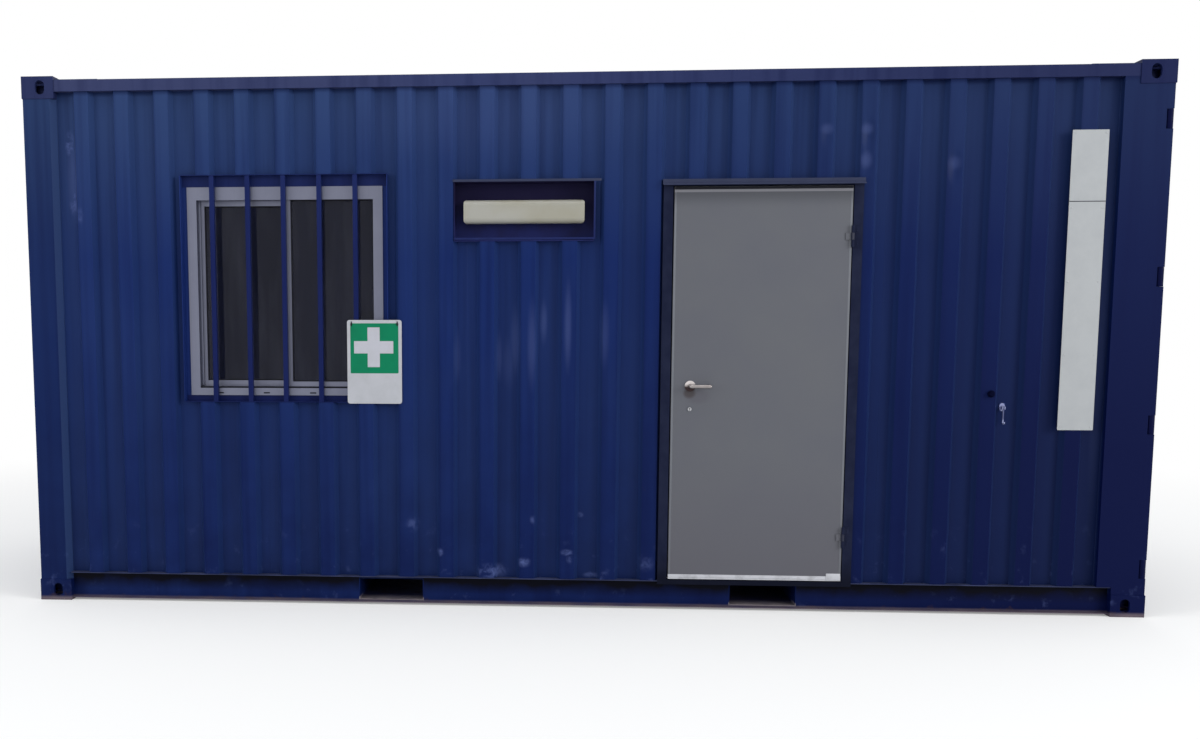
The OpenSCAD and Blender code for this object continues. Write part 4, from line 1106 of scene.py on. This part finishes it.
def vinyl_film(name, tone_code, worn_code):
    """Printed plastic film: an even colour with faint dust and rain marks of 80 mm, half gloss."""
    material, tree, skin, _, dust = mottled(name, tone_code, worn_code, 12, 7, 0.6, (0.4, 0.8), 0.8)
    feed(tree, skin, {"Specular IOR Level": 0.15})
    dull_with(tree, skin, dust, 0.3, 0.5)
    return material


dress(vinyl_film("white_sign_board", board_tone, board_worn), "first_aid_sign")
field = bmesh.new()
block(field, field_u, field_d, field_z)
corners = [e for e in field.edges if abs(e.verts[0].co.y - e.verts[1].co.y) > 0.0005]
bmesh.ops.bevel(field, geom=corners, offset=field_corner / 1000, segments=4, profile=0.5,
                affect="EDGES", material=-1)
field_film = vinyl_film("green_sign_vinyl", field_tone, field_worn)
settle("sign_green_field", field, field_film, "shell")

cross = bmesh.new()
block(cross, (cross_u - arm_half, cross_u + arm_half), cross_d, (cross_z - arm_reach, cross_z + arm_reach))
for u in ((cross_u - arm_reach, cross_u - arm_half), (cross_u + arm_half, cross_u + arm_reach)):
    block(cross, u, cross_d, (cross_z - arm_half, cross_z + arm_half))
cross_film = vinyl_film("white_sign_film", cross_tone, cross_worn)
settle("sign_white_cross", cross, cross_film, "shell")

# The sign's ties: two black nylon cable ties through holes in the upper corners of the board,
# pulled tight, each with its square head in front.
tie_u = (1800, 2052)
tie_half = 3
tie_d = (3.5, 6.5)
tie_z = (1546, 1572)
head_half = 5
head_d = (1, 6.5)
head_z = (1554, 1563)
ties = bmesh.new()
for u in tie_u:
    block(ties, (u - tie_half, u + tie_half), tie_d, tie_z, soft=1)
    block(ties, (u - head_half, u + head_half), head_d, head_z, soft=1.2)
settle("sign_ties", ties, rubber, "shell")

# The name panel: two plain boards of white faced aluminium composite, one above the other,
# held to the wall by rows of white painted pop rivets.
panel_tone = "acafb1"
panel_worn = "a3a6a9"
panel_u = (5560, 5742)
panel_z = (1000, 2550)
panel_face = 9
rivet_in = 14
rivet_up = 16
rivet_gaps = 4
rivet_r = 5
rivet_h = 1.8
joint_d = (8.6, 9.5)
joint_z = (2186, 2190)
panel_white = vinyl_film("white_composite_panel", panel_tone, panel_worn)
dress(panel_white, "name_panel")
rivets = bmesh.new()
for u in (panel_u[0] + rivet_in, panel_u[1] - rivet_in):
    for k in range(rivet_gaps + 1):
        z = panel_z[0] + rivet_up + k * (panel_z[1] - panel_z[0] - 2 * rivet_up) / rivet_gaps
        stud(rivets, spot(u, panel_face, z), rivet_r, rivet_h, (0, -1, 0))
settle("panel_rivets", rivets, panel_white, "shell")
joint = bmesh.new()
block(joint, panel_u, joint_d, joint_z)
settle("panel_joint", joint, rubber, "shell")

# The door hook and its plate: bent steel bar in a lug, zinc plated and dulled by the weather,
# beside a rubber stop that catches the open door.
zinc_pale = "9ba1c4"
zinc_dull = "7379a0"
rod_tone = "5d6284"
rod_dull = "484c6c"
tip_tone = "8f95b8"
stop_tone = "02041a"
stop_bloom = "080b28"
bare_half_w = 17
bare_half_h = 25
tip_z = 1.030
# specks of 15 mm; the wall's paint was brushed over the plate's edges, so zinc shows only in its middle
plate, tree, skin, place, _ = mottled("dull_zinc_plate", zinc_pale, zinc_dull, 60, 5)
plate_low, plate_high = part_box("hook_plate")
plate_mid = (Vector(plate_low) + Vector(plate_high)) / 2
apart = ellipse(tree, place, plate_mid, bare_half_w, bare_half_h)
brushed_over = add(tree, "MapRange", {0: apart, 1: 0.72, 2: 1.02, 3: 0, 4: 1},
                   interpolation_type="SMOOTHSTEP")
stain(tree, skin, brushed_over, wall_blue)
bare_metal = add(tree, "MapRange", {0: brushed_over, 1: 0, 2: 1, 3: 0.8, 4: 0})
feed(tree, skin, {"Metallic": bare_metal, "Roughness": 0.42, "Specular IOR Level": 0.15})
dress(plate, "hook_plate")

# the eye of the door has kept the last 20 mm of the rod's tip bright
rod, tree, skin, place, _ = mottled("weathered_zinc_on_hook_rod", rod_tone, rod_dull, 60, 5)
height = add(tree, "SeparateXYZ", {0: place}).outputs[2]
tip_share = add(tree, "MapRange", {0: height, 1: tip_z + 0.028, 2: tip_z + 0.016, 3: 0, 4: 1})
stain(tree, skin, tip_share, tip_tone)
feed(tree, skin, {"Metallic": 0.8, "Roughness": 0.46})
dress(rod, "door_hook")

# almost black with a blue cast and no shine, and bloom in patches of about 15 mm
stop, tree, skin, _, _ = mottled("blue_black_rubber_on_stop", stop_tone, stop_bloom, 60, 4)
feed(tree, skin, {"Roughness": 0.8, "Specular IOR Level": 0.03})
dress(stop, "rubber_buffer")

# The sizes: the box of the dressed building, with the floor left out.
low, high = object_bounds()
